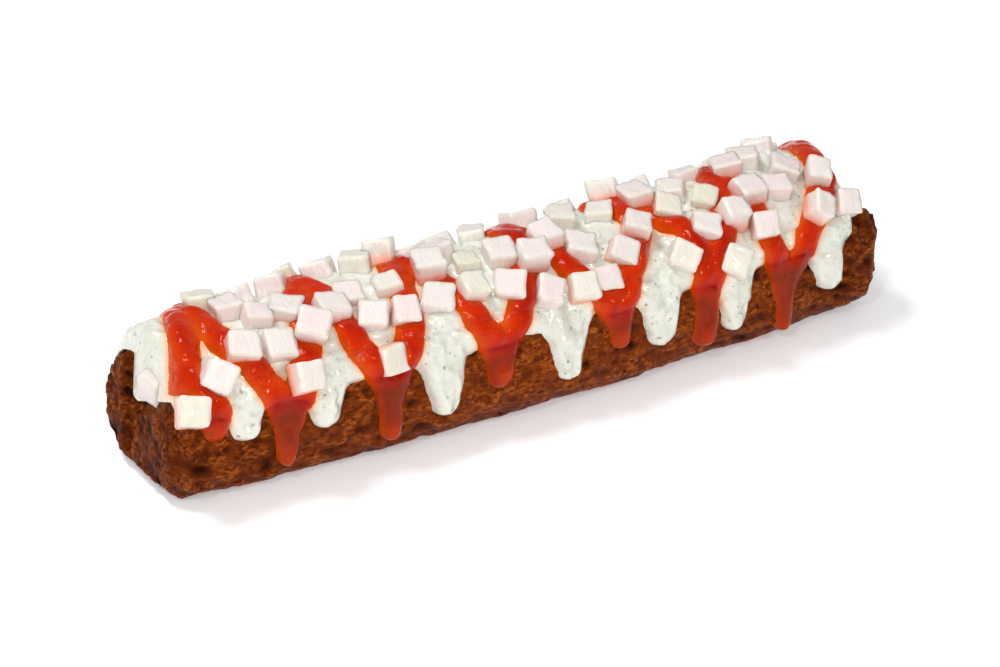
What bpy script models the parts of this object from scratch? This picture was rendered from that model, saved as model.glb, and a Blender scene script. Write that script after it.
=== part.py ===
"""A split frikandel with herb mayonnaise, ketchup and diced onion, as plain closed solids.

X runs along the sausage, Y away from the side that shows, Z up, in metres. The origin is under
the middle of the whole, on the surface that the sausage lies on.

Every solid is a tube round one bowed axis: a radius that depends on the angle round the axis and
on the place along it. A place on the sauces is given by x and by the arc from the crest, measured
over the outside of the section, positive down the near side.
"""
import math

import bmesh
import bpy
import numpy as np
from mathutils import Euler, Matrix, Vector

MM = 0.001

# The sausage
LENGTH = 190 * MM
BOW = 4.8 * MM                # how far the middle lies nearer than the ends
CENTRING = 2.07 * MM           # moves the whole so that its box is centred on the origin
AXIS_Y = 3 * MM
AXIS_Z = 14.5 * MM
END_ROUNDING = 3 * MM
END_ROUGHNESS = 0.8 * MM
ROUNDING_ANGLE = math.radians(4)
# The outside of the section, (y, z) in mm, from the near rim down and round to the far rim
SKIN_OUTLINE = (
    (-14.0, 25.0), (-16.0, 17.0), (-15.8, 10.0), (-12.5, 2.0), (-7.0, 0.0), (9.0, 0.0), (15.5, 1.2),
    (20.0, 5.0), (21.5, 11.5), (20.2, 18.5), (16.5, 25.0), (9.5, 29.5), (0.0, 30.5), (-8.5, 29.0),
)
# The opened split: the near half's cut face and the far half's, and the crack under them
CUT_OUTLINE = ((-17.5, 29.0), (-4.0, 22.8), (5.4, 18.2), (7.6, 18.6), (4.8, 36.0))
CRACK_OUTLINE = ((5.4, 18.8), (7.4, 5.0), (9.0, 5.0), (7.5, 19.2))
CRAG_SIZE = 5 * MM
CRAG_HEIGHT = 0.75 * MM
CRAG_STRETCH = 2.2            # crags are this much longer along the sausage than across it
FLAT_MARGIN = 2.5 * MM        # crags die out this far above the flat underside

# The mound of mayonnaise, (y, z) in mm, from the near rim over the crest to the far rim
MOUND_OUTLINE = (
    (-14.2, 25.0), (-12.2, 27.6), (-8.0, 30.3), (-1.5, 32.3), (5.0, 32.9), (11.0, 31.6), (15.0, 28.6), (18.0, 24.0),
)
MAYO_START = -92.5 * MM
MAYO_STOP = 93 * MM
MAYO_STOP_SLANT = 0.3         # how much sooner it stops for each millimetre down the near side
MAYO_STOP_ARC = -3 * MM       # where the slant begins
MAYO_NEAR_ARC = 23 * MM
MAYO_FAR_ARC = 21 * MM
MAYO_FILM = 2.3 * MM
MAYO_LUMP_SIZE = 8 * MM
MAYO_LUMP_HEIGHT = 0.9 * MM
MOUND_SHOULDER = 5 * MM
MAYO_END_ROUNDING = 5 * MM
MAYO_DIVE = 10 * MM           # how deep it falls away past a slanted end
# Drips down the near side: x and the height of the tip, in mm
MAYO_DRIPS = (
    (-77.9, 14.9), (-58.6, 13.4), (-29.2, 8.6), (2.8, 8.9), (28.0, 10.3), (48.7, 8.7), (76.7, 10.9),
)
MAYO_DRIP_ROOT = 8.5 * MM
MAYO_DRIP_TIP = 3.9 * MM

# The ketchup: one zigzag ribbon, whose arms turn back on the far side and meet in the drips
KETCHUP_FILM = 2.2 * MM
KETCHUP_TURNS = (-79.0, -51.0, -27.5, 1.0, 28.5, 60.0, 88.0)
KETCHUP_TURN_ARC = -9
# Each arm's way, (x, arc) in mm, from its turn to its drip
KETCHUP_ARMS = (
    ((-79, -9), (-84.5, 4), (-88.4, 14.5), (-85, 22)),
    ((-79, -9), (-77, 8), (-72.4, 18), (-67.2, 28)),
    ((-51, -9), (-58, 8), (-63.1, 18), (-67.2, 28)),
    ((-51, -9), (-49, 3), (-49.3, 15.5), (-42.2, 27)),
    ((-27.5, -9), (-33.5, 9), (-37, 17), (-42.2, 27)),
    ((-27.5, -9), (-23, 5), (-20.3, 15), (-15.2, 26)),
    ((1, -9), (0, 4), (-8.5, 16), (-15.2, 26)),
    ((1, -9), (6, 7), (8.6, 14), (16.4, 24)),
    ((28.5, -9), (29.5, 6), (21.3, 15), (16.4, 24)),
    ((28.5, -9), (40, 10), (40.7, 22)),
    ((60, -9), (52, 9), (40.7, 22)),
    ((60, -9), (60, 18), (64, 30)),
    ((88, -9), (82, 8), (71.8, 18), (64, 30)),
)
KETCHUP_ARM = 3.5 * MM
# Drips down the near side, in mm: x, the arc where it leaves the arms, the tip's height and half width
KETCHUP_DRIPS = (
    (-84.8, 22, 16.1, 3.1), (-67.8, 28, 5.7, 2.5), (-42.6, 27, 5.6, 2.9), (-14.8, 26, 11.7, 3.9),
    (17.0, 24, 12.6, 3.1), (40.5, 22, 6.4, 3.7), (64.1, 30, 3.6, 2.6),
)
KETCHUP_FAR_DRIP = 3.2 * MM

# Drips down the far side, which follow no photograph
FAR_SEED = 7
FAR_TIP_HEIGHT = (7, 19)

# Sauces: how they end, and how deep their solids run under the skin before they are cut
EDGE_WIDTH = 3.2 * MM
BLEND_WIDTH = 0.9 * MM
KETCHUP_BLEND = 0.6 * MM
SUNK = 1.6 * MM
GAP = 0.6 * MM

# Onion: rows along the sausage, (arc in mm, the x of each piece in mm)
ONION_ROWS = (
    (-2, (-71, -57, -19, 7, 13.5, 24, 34.6, 45, 61)),
    (3, (-67, -60, -44.6, -35, -24, -14.5, -6.7, 5, 39, 50, 73)),
    (7, (-78, -51, -29, -1, 12, 19.6, 28, 59.9, 68, 79.6)),
    (11, (-75, -66.5, -58.5, -43, -36, -27, -18.5, -9.5, 21, 44, 52.5, 64)),
    (15.5, (-83, -56.5, -30.5, -0.8, 7, 14.3, 35, 58.5, 74.4, 84)),
    (20, (-90.4, -64, -42.5, 48)),
)
ONION_SIZE = (6.0, 7.6)
ONION_TILT = math.radians(13)
ONION_SPIN = (-0.7, 0.05)     # turn from square with the sausage
ONION_SINK = 1.9 * MM
ONION_SEED = 14
ONION_MARGIN = 2 * MM         # the least distance from the edge of the sauce
FAR_ONION_ARCS = (-8, -14, -20)
FAR_ONION_START = -72
FAR_ONION_STOP = 86
FAR_ONION_STEP = 9.5
END_ONION_PLACE = (-90.4, -0.6, 24.2)
END_ONION_TURN = (0.1, -0.15, 0.2)
END_ONION_SIZE = 7
ON_KETCHUP = -1.0 * MM        # a piece whose middle lies this far inside the ketchup belongs to it

# Triangles of the tubes that the solids are cut from, and of the finished sauces
SKIN_FACES = 3200
SAUCE_TUBE_FACES = 7000
MAYO_FACES = 5800
KETCHUP_FACES = 4600
MERGE = 0.002 * MM

LATTICE = 32


def value_noise(x, y, z, seed):
    """Random heights from -1 to 1 at whole-number points, joined by smooth steps."""
    table = np.random.default_rng(seed).uniform(-1, 1, (LATTICE, LATTICE, LATTICE))
    corner = [np.floor(c).astype(int) for c in (x, y, z)]
    part = [c - k for c, k in zip((x, y, z), corner)]
    part = [p * p * (3 - 2 * p) for p in part]
    total = 0
    for i in (0, 1):
        for j in (0, 1):
            for k in (0, 1):
                share = abs(1 - i - part[0]) * abs(1 - j - part[1]) * abs(1 - k - part[2])
                total = total + share * table[
                    (corner[0] + i) % LATTICE, (corner[1] + j) % LATTICE, (corner[2] + k) % LATTICE]
    return total


def outline_radius(outline, angle, closed):
    """Distance from the axis to an outline, along a ray at each angle; nothing past open ends."""
    y, z = (np.array(outline) * MM - (AXIS_Y, AXIS_Z)).T
    outline_angle = np.arctan2(z, y)
    radius = np.hypot(y, z)
    if closed:
        return np.interp(angle, outline_angle, radius, period=2 * math.pi)
    order = np.argsort(outline_angle)
    return np.interp(angle, outline_angle[order], radius[order], left=0, right=0)


def rounded(radius_at):
    """A radius function with its corners averaged out over a few degrees either side."""
    offsets = np.linspace(-3, 3, 13)
    shares = np.exp(-offsets ** 2 / 2)
    shares /= shares.sum()

    def radius(angle):
        return sum(share * radius_at(angle + offset * ROUNDING_ANGLE)
                   for offset, share in zip(offsets, shares))
    return radius


def wrapped(angle):
    """The same angle between minus and plus half a turn."""
    return (angle + math.pi) % (2 * math.pi) - math.pi


smooth_skin = rounded(lambda angle: outline_radius(SKIN_OUTLINE, angle, True))
smooth_mound = rounded(lambda angle: outline_radius(MOUND_OUTLINE, wrapped(angle), False))


def skin_radius(angle):
    """The skin without its crags, cut flat underneath."""
    down = np.maximum(-np.sin(angle), 1e-6)
    return np.minimum(smooth_skin(angle), np.where(np.sin(angle) < 0, AXIS_Z / down, 1.0))


def outside_radius(angle):
    """The outside of skin and mound together."""
    return np.maximum(skin_radius(angle), smooth_mound(angle))


ARC_ANGLES = np.radians(np.arange(-90, 270.5, 0.5))
ARC_Y = outside_radius(ARC_ANGLES) * np.cos(ARC_ANGLES)
ARC_Z = outside_radius(ARC_ANGLES) * np.sin(ARC_ANGLES)
ARC_LENGTHS = np.concatenate(([0], np.cumsum(np.hypot(np.diff(ARC_Y), np.diff(ARC_Z)))))
ARC_LENGTHS -= np.interp(math.pi / 2, ARC_ANGLES, ARC_LENGTHS)


def arc_of(angle):
    """Arc from the crest to an angle, positive on the near side."""
    return np.interp((angle + math.pi / 2) % (2 * math.pi) - math.pi / 2, ARC_ANGLES, ARC_LENGTHS)


def angle_of(arc):
    """The angle at which an arc from the crest ends."""
    return np.interp(arc, ARC_LENGTHS, ARC_ANGLES)


def arc_at_height(height, near):
    """Arc from the crest down to a height, on the near or the far side."""
    side = (ARC_LENGTHS > 15 * MM) if near else (ARC_LENGTHS < -12 * MM)
    steps = np.where(side, np.abs(ARC_Z + AXIS_Z - height), 1.0)
    return ARC_LENGTHS[np.argmin(steps)]


def bow(x):
    """How far the section is shifted in y at x, so that the sausage lies in a shallow bow."""
    return BOW * ((x / (LENGTH / 2)) ** 2 - 1) + CENTRING


def capsule(x, arc, start, end, start_width, end_width):
    """How far a place lies inside a tapered strip with round ends; negative outside it."""
    start, end = np.array(start), np.array(end)
    along = end - start
    share = ((x - start[0]) * along[0] + (arc - start[1]) * along[1]) / (along @ along)
    share = np.clip(share, 0, 1)
    distance = np.hypot(x - start[0] - share * along[0], arc - start[1] - share * along[1])
    return start_width + (end_width - start_width) * share - distance


def joined(strips, blend):
    """One outline round several strips, with fillets where they meet."""
    return blend * np.logaddexp.reduce([strip / blend for strip in strips])


def far_drips(places, seed):
    """Drips for the far side: each at its place, to a random height."""
    heights = np.random.default_rng(seed).uniform(*FAR_TIP_HEIGHT, len(places))
    return [(place, height) for place, height in zip(places, heights)]


def middles(places):
    """The places halfway between neighbours."""
    return [(a + b) / 2 for a, b in zip(places, places[1:])]


def drip_strips(x, arc, drips, near, root_arc, root_width, tip_width):
    """Strips that run straight down from the sauce to each drip's tip."""
    strips = []
    for place, height in drips:
        tip_arc = arc_at_height(height * MM, near)
        tip_arc -= math.copysign(tip_width, tip_arc)
        strips.append(capsule(x, arc, (place * MM, root_arc), (place * MM, tip_arc), root_width, tip_width))
    return strips


def from_mayo_ends(x, arc):
    """How far a place lies from the nearer end of the mayonnaise; the right end slants on the near side."""
    sooner = MAYO_STOP_SLANT * (np.clip(arc, MAYO_STOP_ARC, MAYO_NEAR_ARC) - MAYO_STOP_ARC)
    return np.minimum(x - MAYO_START, MAYO_STOP - sooner - x)


def mayo_inside(x, arc):
    """How far a place lies inside the mayonnaise's outline."""
    patch = np.minimum(from_mayo_ends(x, arc), np.minimum(MAYO_NEAR_ARC - arc, arc + MAYO_FAR_ARC))
    near = drip_strips(x, arc, MAYO_DRIPS, True, MAYO_NEAR_ARC - MAYO_DRIP_ROOT, MAYO_DRIP_ROOT, MAYO_DRIP_TIP)
    far = drip_strips(x, arc, far_drips(middles(KETCHUP_TURNS), FAR_SEED), False,
                      MAYO_DRIP_ROOT - MAYO_FAR_ARC, MAYO_DRIP_ROOT, MAYO_DRIP_TIP)
    return joined([patch] + near + far, BLEND_WIDTH)


def strip_along(x, arc, places, width):
    """How far a place lies inside a strip of one width that passes through several places."""
    places = np.array(places) * MM
    return np.maximum.reduce([capsule(x, arc, start, end, width, width) for start, end in zip(places, places[1:])])


def ketchup_inside(x, arc):
    """How far a place lies inside the ketchup's outline: a zigzag and its drips."""
    strips = [strip_along(x, arc, places, KETCHUP_ARM) for places in KETCHUP_ARMS]
    for place, root_arc, height, width in KETCHUP_DRIPS:
        strips += drip_strips(x, arc, [(place, height)], True, root_arc * MM, KETCHUP_ARM, width * MM)
    strips += drip_strips(x, arc, far_drips(KETCHUP_TURNS, FAR_SEED + 1), False,
                          KETCHUP_TURN_ARC * MM, KETCHUP_ARM, KETCHUP_FAR_DRIP)
    return joined(strips, KETCHUP_BLEND)


def film(inside):
    """Share of a sauce's full thickness, rising steeply from its edge to a level top."""
    depth = np.clip(inside / EDGE_WIDTH, 0, 1)
    return np.sqrt(1 - (1 - depth) ** 2)


def crags(x, angle, seed):
    """Relief of the browned skin, longer along the sausage than round it."""
    across = LENGTH / 12 / CRAG_SIZE
    coarse = value_noise(x / CRAG_SIZE / CRAG_STRETCH, across * np.cos(angle), across * np.sin(angle), seed)
    fine = value_noise(2 * x / CRAG_SIZE / CRAG_STRETCH, 2 * across * np.cos(angle),
                       2 * across * np.sin(angle), seed + 1)
    return CRAG_HEIGHT * (coarse + 0.5 * fine)


def craggy_skin_radius(x, angle):
    """The skin with its crags, which die out towards the flat underside."""
    plain = skin_radius(angle)
    height = AXIS_Z + plain * np.sin(angle)
    return plain + crags(x, angle, 3) * np.clip(height / FLAT_MARGIN, 0, 1)


def mayo_radius(x, angle):
    """The outside of the mayonnaise: mound and drips, sunk under the skin elsewhere."""
    arc = arc_of(angle)
    inside = mayo_inside(x, arc)
    lumps = value_noise(x / MAYO_LUMP_SIZE, arc / MAYO_LUMP_SIZE, np.zeros_like(arc), 5)
    from_end = from_mayo_ends(x, arc)
    swell = np.maximum(smooth_mound(angle) - skin_radius(angle), 0) * film(from_end * EDGE_WIDTH / MOUND_SHOULDER)
    rise = (SUNK + MAYO_FILM + MAYO_LUMP_HEIGHT * lumps) * film(inside)
    dive = np.clip(-2 * from_end, 0, MAYO_DIVE)
    return skin_radius(angle) - SUNK - dive + rise + swell * np.clip(inside / EDGE_WIDTH, 0, 1)


def ketchup_radius(x, angle):
    """The outside of the ketchup, sunk under what it lies on elsewhere."""
    support = np.maximum(craggy_skin_radius(x, angle), mayo_radius(x, angle))
    return support - SUNK + (SUNK + KETCHUP_FILM) * film(ketchup_inside(x, arc_of(angle)))


def place_on(x, arc, lift):
    """The point at x and an arc from the crest, lifted off what is there, and the way outwards."""
    angle = angle_of(arc)
    ketchup = np.maximum(ketchup_radius(x, angle), mayo_radius(x, angle))
    radius = np.maximum(ketchup, craggy_skin_radius(x, angle)) + lift
    point = Vector((float(x), float(bow(x) + AXIS_Y + radius * math.cos(angle)),
                    float(AXIS_Z + radius * math.sin(angle))))
    return point, Vector((0, math.cos(angle), math.sin(angle)))


def tube(name, start, stop, rounding, power, radius_at, sides, rings, collection):
    """A UV sphere pulled out to a tube between two places along the bowed axis, with rough ends.

    The ends are domed by a superellipse of the given power, the flatter the higher it is.
    """
    form = bmesh.new()
    bmesh.ops.create_uvsphere(form, u_segments=sides, v_segments=rings, radius=1)
    mesh = bpy.data.meshes.new(name)
    form.to_mesh(mesh)
    form.free()
    points = np.empty(len(mesh.vertices) * 3)
    mesh.vertices.foreach_get("co", points)
    points = points.reshape(-1, 3)
    angle = np.arctan2(points[:, 1], points[:, 0])
    ring = np.round(np.arccos(np.clip(points[:, 2], -1, 1)) / math.pi * rings)
    cap = rings // 12
    reach = np.clip(np.minimum(ring, rings - ring) / cap, 0, 1)
    along = np.clip((rings - cap - ring) / (rings - 2 * cap), 0, 1)
    reach = np.sin(reach * math.pi / 2)
    domed = rounding * (1 - (1 - np.minimum(reach, 1) ** power) ** (1 / power))
    x = start + domed + along * (stop - start - 2 * domed)
    radius = reach * radius_at(x, angle)
    y = AXIS_Y + radius * np.cos(angle)
    z = np.maximum(AXIS_Z + radius * np.sin(angle), 0)
    rough = END_ROUGHNESS * value_noise(x / CRAG_SIZE, y / CRAG_SIZE, z / CRAG_SIZE, 17)
    x -= np.where(reach < 0.99, np.sign(x) * np.abs(rough), 0)
    mesh.vertices.foreach_set("co", np.stack((x, y + bow(x), z), -1).ravel())
    return add_object(name, mesh, collection)


def add_object(name, mesh, collection):
    """An object for a mesh, in a collection."""
    piece = bpy.data.objects.new(name, mesh)
    collection.objects.link(piece)
    return piece


def settle(piece):
    """Turn a piece's modifiers into its mesh."""
    bpy.context.view_layer.update()
    evaluated = piece.evaluated_get(bpy.context.evaluated_depsgraph_get())
    mesh = bpy.data.meshes.new_from_object(evaluated)
    piece.modifiers.clear()
    piece.data = mesh


def thin_out(piece, faces):
    """Lower a piece to about so many triangles."""
    decimate = piece.modifiers.new("fewer_faces", "DECIMATE")
    triangles = sum(len(face.vertices) - 2 for face in piece.data.polygons)
    decimate.ratio = min(1, faces / triangles)
    settle(piece)


def grown(piece, distance, collection):
    """A copy of a piece with its surface moved outwards."""
    copy = add_object(piece.name + "_room", piece.data.copy(), collection)
    displace = copy.modifiers.new("grown", "DISPLACE")
    displace.mid_level = 0
    displace.strength = distance
    settle(copy)
    return copy


def combine(piece, operation, others):
    """Join or cut a piece with a list of others, which are then removed."""
    group = bpy.data.collections.new(operation)
    bpy.context.scene.collection.children.link(group)
    for other in others:
        group.objects.link(other)
    boolean = piece.modifiers.new(operation.lower(), "BOOLEAN")
    boolean.operation = operation
    boolean.solver = "MANIFOLD"
    boolean.operand_type = "COLLECTION"
    boolean.collection = group
    settle(piece)
    for other in others:
        bpy.data.objects.remove(other)
    bpy.data.collections.remove(group)


def keep_largest(piece):
    """Keep the main shell: scraps that a cut left, and the walls of sealed hollows, go."""
    form = bmesh.new()
    form.from_mesh(piece.data)
    bmesh.ops.remove_doubles(form, verts=form.verts, dist=MERGE)
    bmesh.ops.triangulate(form, faces=form.faces)
    waiting = set(form.faces)
    shells = []
    while waiting:
        front = [waiting.pop()]
        shell = list(front)
        while front:
            edges = [edge for edge in front.pop().edges if edge.is_manifold]
            neighbours = {other for edge in edges for other in edge.link_faces} & waiting
            waiting -= neighbours
            shell += neighbours
            front += neighbours
        shells.append(shell)
    shells.sort(key=len)
    for shell in shells[:-1]:
        bmesh.ops.delete(form, geom=shell, context="FACES")
    form.to_mesh(piece.data)
    form.free()


def prism(name, outline, collection):
    """A long straight-sided bar over an outline in (y, z), bent to the axis, past both ends."""
    form = bmesh.new()
    bmesh.ops.create_cone(form, cap_ends=True, segments=len(outline), radius1=1, radius2=1, depth=2)
    long_edges = [edge for edge in form.edges if abs(edge.verts[0].co.z - edge.verts[1].co.z) > 1]
    bmesh.ops.subdivide_edges(form, edges=long_edges, cuts=11, use_grid_fill=True)
    for corner in form.verts:
        place = round(math.atan2(corner.co.y, corner.co.x) / (2 * math.pi) * len(outline)) % len(outline)
        y, z = outline[place]
        x = corner.co.z * (LENGTH / 2 + 5 * MM)
        corner.co = (x, y * MM + bow(x), z * MM)
    mesh = bpy.data.meshes.new(name)
    form.to_mesh(mesh)
    form.free()
    return add_object(name, mesh, collection)


def onion_places():
    """Where the pieces of onion lie, as (x, arc, size), the largest first and none inside another."""
    draw = np.random.default_rng(ONION_SEED)
    places = []
    for arc, row in ONION_ROWS:
        for x in row:
            places.append((x, arc + draw.uniform(-0.8, 0.8), draw.uniform(*ONION_SIZE)))
    for arc in FAR_ONION_ARCS:
        for x in np.arange(FAR_ONION_START, FAR_ONION_STOP, FAR_ONION_STEP):
            places.append((x + draw.uniform(-4, 4), arc + draw.uniform(-2, 2), draw.uniform(*ONION_SIZE)))
    places.sort(key=lambda place: -place[2])
    kept = []
    for x, arc, size in places:
        on_sauce = mayo_inside(x * MM, arc * MM) > ONION_MARGIN
        if on_sauce and all(math.hypot(x - other[0], arc - other[1]) > 0.45 * (size + other[2]) for other in kept):
            kept.append((x, arc, size))
    return kept


def uneven_cube(draw, matrix, collection):
    """A unit cube whose corners are moved a little at random, scaled, turned and placed by a matrix."""
    form = bmesh.new()
    bmesh.ops.create_cube(form, size=MM)
    for corner in form.verts:
        corner.co += Vector(draw.uniform(-0.07, 0.07, 3)) * MM
    form.transform(matrix)
    mesh = bpy.data.meshes.new("onion")
    form.to_mesh(mesh)
    form.free()
    return add_object("onion", mesh, collection)


def onion_piece(number, x, arc, size, collection):
    """One uneven cube of onion, pressed a little into the sauce."""
    draw = np.random.default_rng(ONION_SEED + 1 + number)
    tilt = draw.uniform(-ONION_TILT, ONION_TILT, 2)
    spin = draw.uniform(*ONION_SPIN)
    height = size * draw.uniform(0.72, 1.0)
    point, outwards = place_on(x * MM, arc * MM, height * MM / 2 - ONION_SINK)
    turn = outwards.to_track_quat("Z", "X").to_matrix().to_4x4()
    sway = Euler((tilt[0], tilt[1], spin)).to_matrix().to_4x4()
    matrix = Matrix.Translation(point) @ turn @ sway @ Matrix.Diagonal((size, size, height, 1))
    return uneven_cube(draw, matrix, collection)


def end_onion_piece(collection):
    """The piece that is sunk in the left end of the mayonnaise, with one face out."""
    x, y, z = (axis * MM for axis in END_ONION_PLACE)
    place = Matrix.Translation((x, y + bow(x), z))
    sway = Euler(END_ONION_TURN).to_matrix().to_4x4()
    matrix = place @ sway @ Matrix.Diagonal((END_ONION_SIZE, END_ONION_SIZE, END_ONION_SIZE, 1))
    return uneven_cube(np.random.default_rng(ONION_SEED), matrix, collection)


def material(name, colour, roughness, subsurface=0.0):
    """A plain Principled material; none of the food is metallic."""
    finish = bpy.data.materials.new(name)
    finish.use_nodes = True
    shader = finish.node_tree.nodes["Principled BSDF"]
    shader.inputs["Base Color"].default_value = (*colour, 1)
    shader.inputs["Roughness"].default_value = roughness
    shader.inputs["Metallic"].default_value = 0
    shader.inputs["Subsurface Weight"].default_value = subsurface
    finish.diffuse_color = (*colour, 1)
    return finish


def dress(piece, finish):
    """One material for a piece, with its sharp edges kept sharp."""
    piece.data.materials.clear()
    piece.data.materials.append(finish)
    piece.data.shade_smooth()
    piece.data.set_sharp_from_angle(angle=math.radians(45))


def new_collection(name):
    """A collection in the scene."""
    collection = bpy.data.collections.new(name)
    bpy.context.scene.collection.children.link(collection)
    return collection


def build():
    """Sausage first, then each sauce cut to fit what it lies on, then the onion."""
    food = new_collection("frikandel_special")
    scratch = new_collection("cutters")

    skin = tube("frikandel", -LENGTH / 2, LENGTH / 2, END_ROUNDING, 5, craggy_skin_radius, 80, 120, food)
    thin_out(skin, SKIN_FACES)
    cut = prism("cut", CUT_OUTLINE, scratch)
    skin_room = grown(skin, GAP, scratch)
    combine(skin_room, "DIFFERENCE", [grown(cut, -GAP, scratch)])
    combine(skin, "DIFFERENCE", [cut, prism("crack", CRACK_OUTLINE, scratch)])

    mayo = tube("herb_mayonnaise", MAYO_START, MAYO_STOP, MAYO_END_ROUNDING, 2, mayo_radius, 96, 150, food)
    thin_out(mayo, SAUCE_TUBE_FACES)
    ketchup = tube("ketchup", MAYO_START + 2 * MM, MAYO_STOP - MM, MM, 2, ketchup_radius, 96, 200, food)
    thin_out(ketchup, SAUCE_TUBE_FACES)
    mayo_room = grown(mayo, GAP, scratch)

    on_mayo = [end_onion_piece(scratch)]
    on_ketchup = []
    for number, (x, arc, size) in enumerate(onion_places()):
        pieces = on_ketchup if ketchup_inside(x * MM, arc * MM) > ON_KETCHUP else on_mayo
        pieces.append(onion_piece(number, x, arc, size, scratch))
    mayo_gaps = [skin_room] + [grown(piece, GAP, scratch) for piece in on_ketchup]
    ketchup_gaps = [grown(skin_room, 0, scratch), mayo_room] + [grown(piece, GAP, scratch) for piece in on_mayo]
    combine(mayo, "UNION", on_mayo)
    combine(mayo, "DIFFERENCE", mayo_gaps)
    combine(ketchup, "UNION", on_ketchup)
    combine(ketchup, "DIFFERENCE", ketchup_gaps)
    for piece, faces in ((mayo, MAYO_FACES), (ketchup, KETCHUP_FACES)):
        keep_largest(piece)
        thin_out(piece, faces)
        keep_largest(piece)

    dress(skin, material("browned_meat", (0.22, 0.055, 0.016), 0.45))
    dress(mayo, material("herb_mayonnaise", (0.80, 0.84, 0.76), 0.25, 0.1))
    dress(ketchup, material("ketchup", (0.62, 0.022, 0.003), 0.15))
    bpy.data.collections.remove(scratch)


def main():
    """Clear the scene and build the food."""
    for piece in list(bpy.data.objects):
        bpy.data.objects.remove(piece)
    build()


main()
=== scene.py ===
"""Looks of a split frikandel with herb mayonnaise, ketchup and diced onion, on a pale floor.

Every surface is worked out in the section's own terms: x along the sausage, and either the angle
round its axis or the arc from the crest of the mound, positive down the near side.
"""
import math

import bpy
import numpy as np
from bpy.props import FloatProperty, FloatVectorProperty, IntProperty, PointerProperty
from mathutils import Euler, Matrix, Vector


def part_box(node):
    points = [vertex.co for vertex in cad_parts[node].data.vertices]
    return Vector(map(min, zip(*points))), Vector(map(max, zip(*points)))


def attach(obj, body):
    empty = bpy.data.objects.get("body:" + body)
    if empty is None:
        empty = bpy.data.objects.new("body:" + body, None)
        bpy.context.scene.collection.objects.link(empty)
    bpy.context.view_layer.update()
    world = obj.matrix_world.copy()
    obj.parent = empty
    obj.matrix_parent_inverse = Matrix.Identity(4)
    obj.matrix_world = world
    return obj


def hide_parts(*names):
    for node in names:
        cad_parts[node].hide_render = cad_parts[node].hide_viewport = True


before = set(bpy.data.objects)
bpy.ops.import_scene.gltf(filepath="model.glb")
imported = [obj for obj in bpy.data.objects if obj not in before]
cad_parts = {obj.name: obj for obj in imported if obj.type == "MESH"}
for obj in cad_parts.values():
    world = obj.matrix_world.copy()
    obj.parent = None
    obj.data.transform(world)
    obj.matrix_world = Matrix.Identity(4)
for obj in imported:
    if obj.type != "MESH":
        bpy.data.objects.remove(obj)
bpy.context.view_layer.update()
SAUSAGE_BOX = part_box("frikandel")

bl_info = {
    "name": "Split frikandel",
    "version": (1, 0, 0),
    "blender": (4, 5, 0),
    "location": "3D View > Sidebar > Frikandel",
    "description": "A split fried sausage with herb mayonnaise, ketchup and diced onion",
    "category": "Add Mesh",
}

MM = 0.001

# The sausage, as the solids have it
LENGTH = SAUSAGE_BOX[1][0] - SAUSAGE_BOX[0][0]
BOW = 4.8 * MM
CENTRING = 2.07 * MM
AXIS_Y = 3 * MM
AXIS_Z = 14.5 * MM
ROUNDING_ANGLE = math.radians(4)
SKIN_OUTLINE = (
    (-14.0, 25.0), (-16.0, 17.0), (-15.8, 10.0), (-12.5, 2.0), (-7.0, 0.0), (9.0, 0.0), (15.5, 1.2),
    (20.0, 5.0), (21.5, 11.5), (20.2, 18.5), (16.5, 25.0), (9.5, 29.5), (0.0, 30.5), (-8.5, 29.0),
)
CRAG_SIZE = 5 * MM
CRAG_HEIGHT = 0.75 * MM
CRAG_STRETCH = 2.2
FLAT_MARGIN = 2.5 * MM
END_BULGE = 2.6 * MM          # how far the middle of each half's end stands proud of its edge

# How finely the sausage is drawn
SECTION_REACH = LENGTH / 2 - END_BULGE
SECTIONS = 275
END_SECTIONS = 8
END_ROUNDING = 2.4 * MM
SECTION_POINTS = 138          # from rim to rim round the outside, and as many over the cut
SECTION_SOFTENING = 2         # points either side that round the section's corners
CAP_ROWS = 33                 # an odd number, so that the fans at the rims come out in quads

# Relief of the fried skin, which gets rougher towards the ends, and of its end faces
SKIN_SLANT = ((0.92, -0.3, 0.25), (0.3, 0.95, 0), (-0.25, 0.07, 0.96))    # turns the folds off the axis
FIBRE_SIZE = 1.5 * MM
FIBRE_HEIGHT = 0.22 * MM
FOLD_SIZE = 3.2 * MM
FOLD_HEIGHT = 0.2 * MM
END_FOLD_HEIGHT = 0.2 * MM
KNOB_SIZE = 1.9 * MM
KNOB_HEIGHT = 0.28 * MM
END_KNOB_HEIGHT = 0.32 * MM
BLISTER_SIZE = 0.9 * MM
BLISTER_HEIGHT = 0.16 * MM
PIT_SIZE = 2.1 * MM
PIT_DEPTH = 0.45 * MM
ROUGH_START = 62 * MM         # from the middle
ROUGH_WIDTH = 20 * MM
CAP_SWELL = 0.6 * END_BULGE
CAP_RIDGE_HEIGHT = 0.7 * MM
CAP_KNOB_HEIGHT = 0.5 * MM
CAP_BLISTER_HEIGHT = 0.35 * MM

# The split: where the two rims lie round the axis, and the cut faces between them, (y, z) in mm
NEAR_RIM_ANGLE = math.radians(142)
FAR_RIM_ANGLE = math.radians(80)
CUT_CORNERS = ((5.4, 18.2), (7.4, 5.0), (9.0, 5.0), (7.6, 18.6))
CUT_SHARES = (0.36, 0.56, 0.6, 0.8)
BED_CORNERS = ((5.4, 18.2), (7.6, 18.6))
BED_SHARES = (0.6, 0.66)

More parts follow.
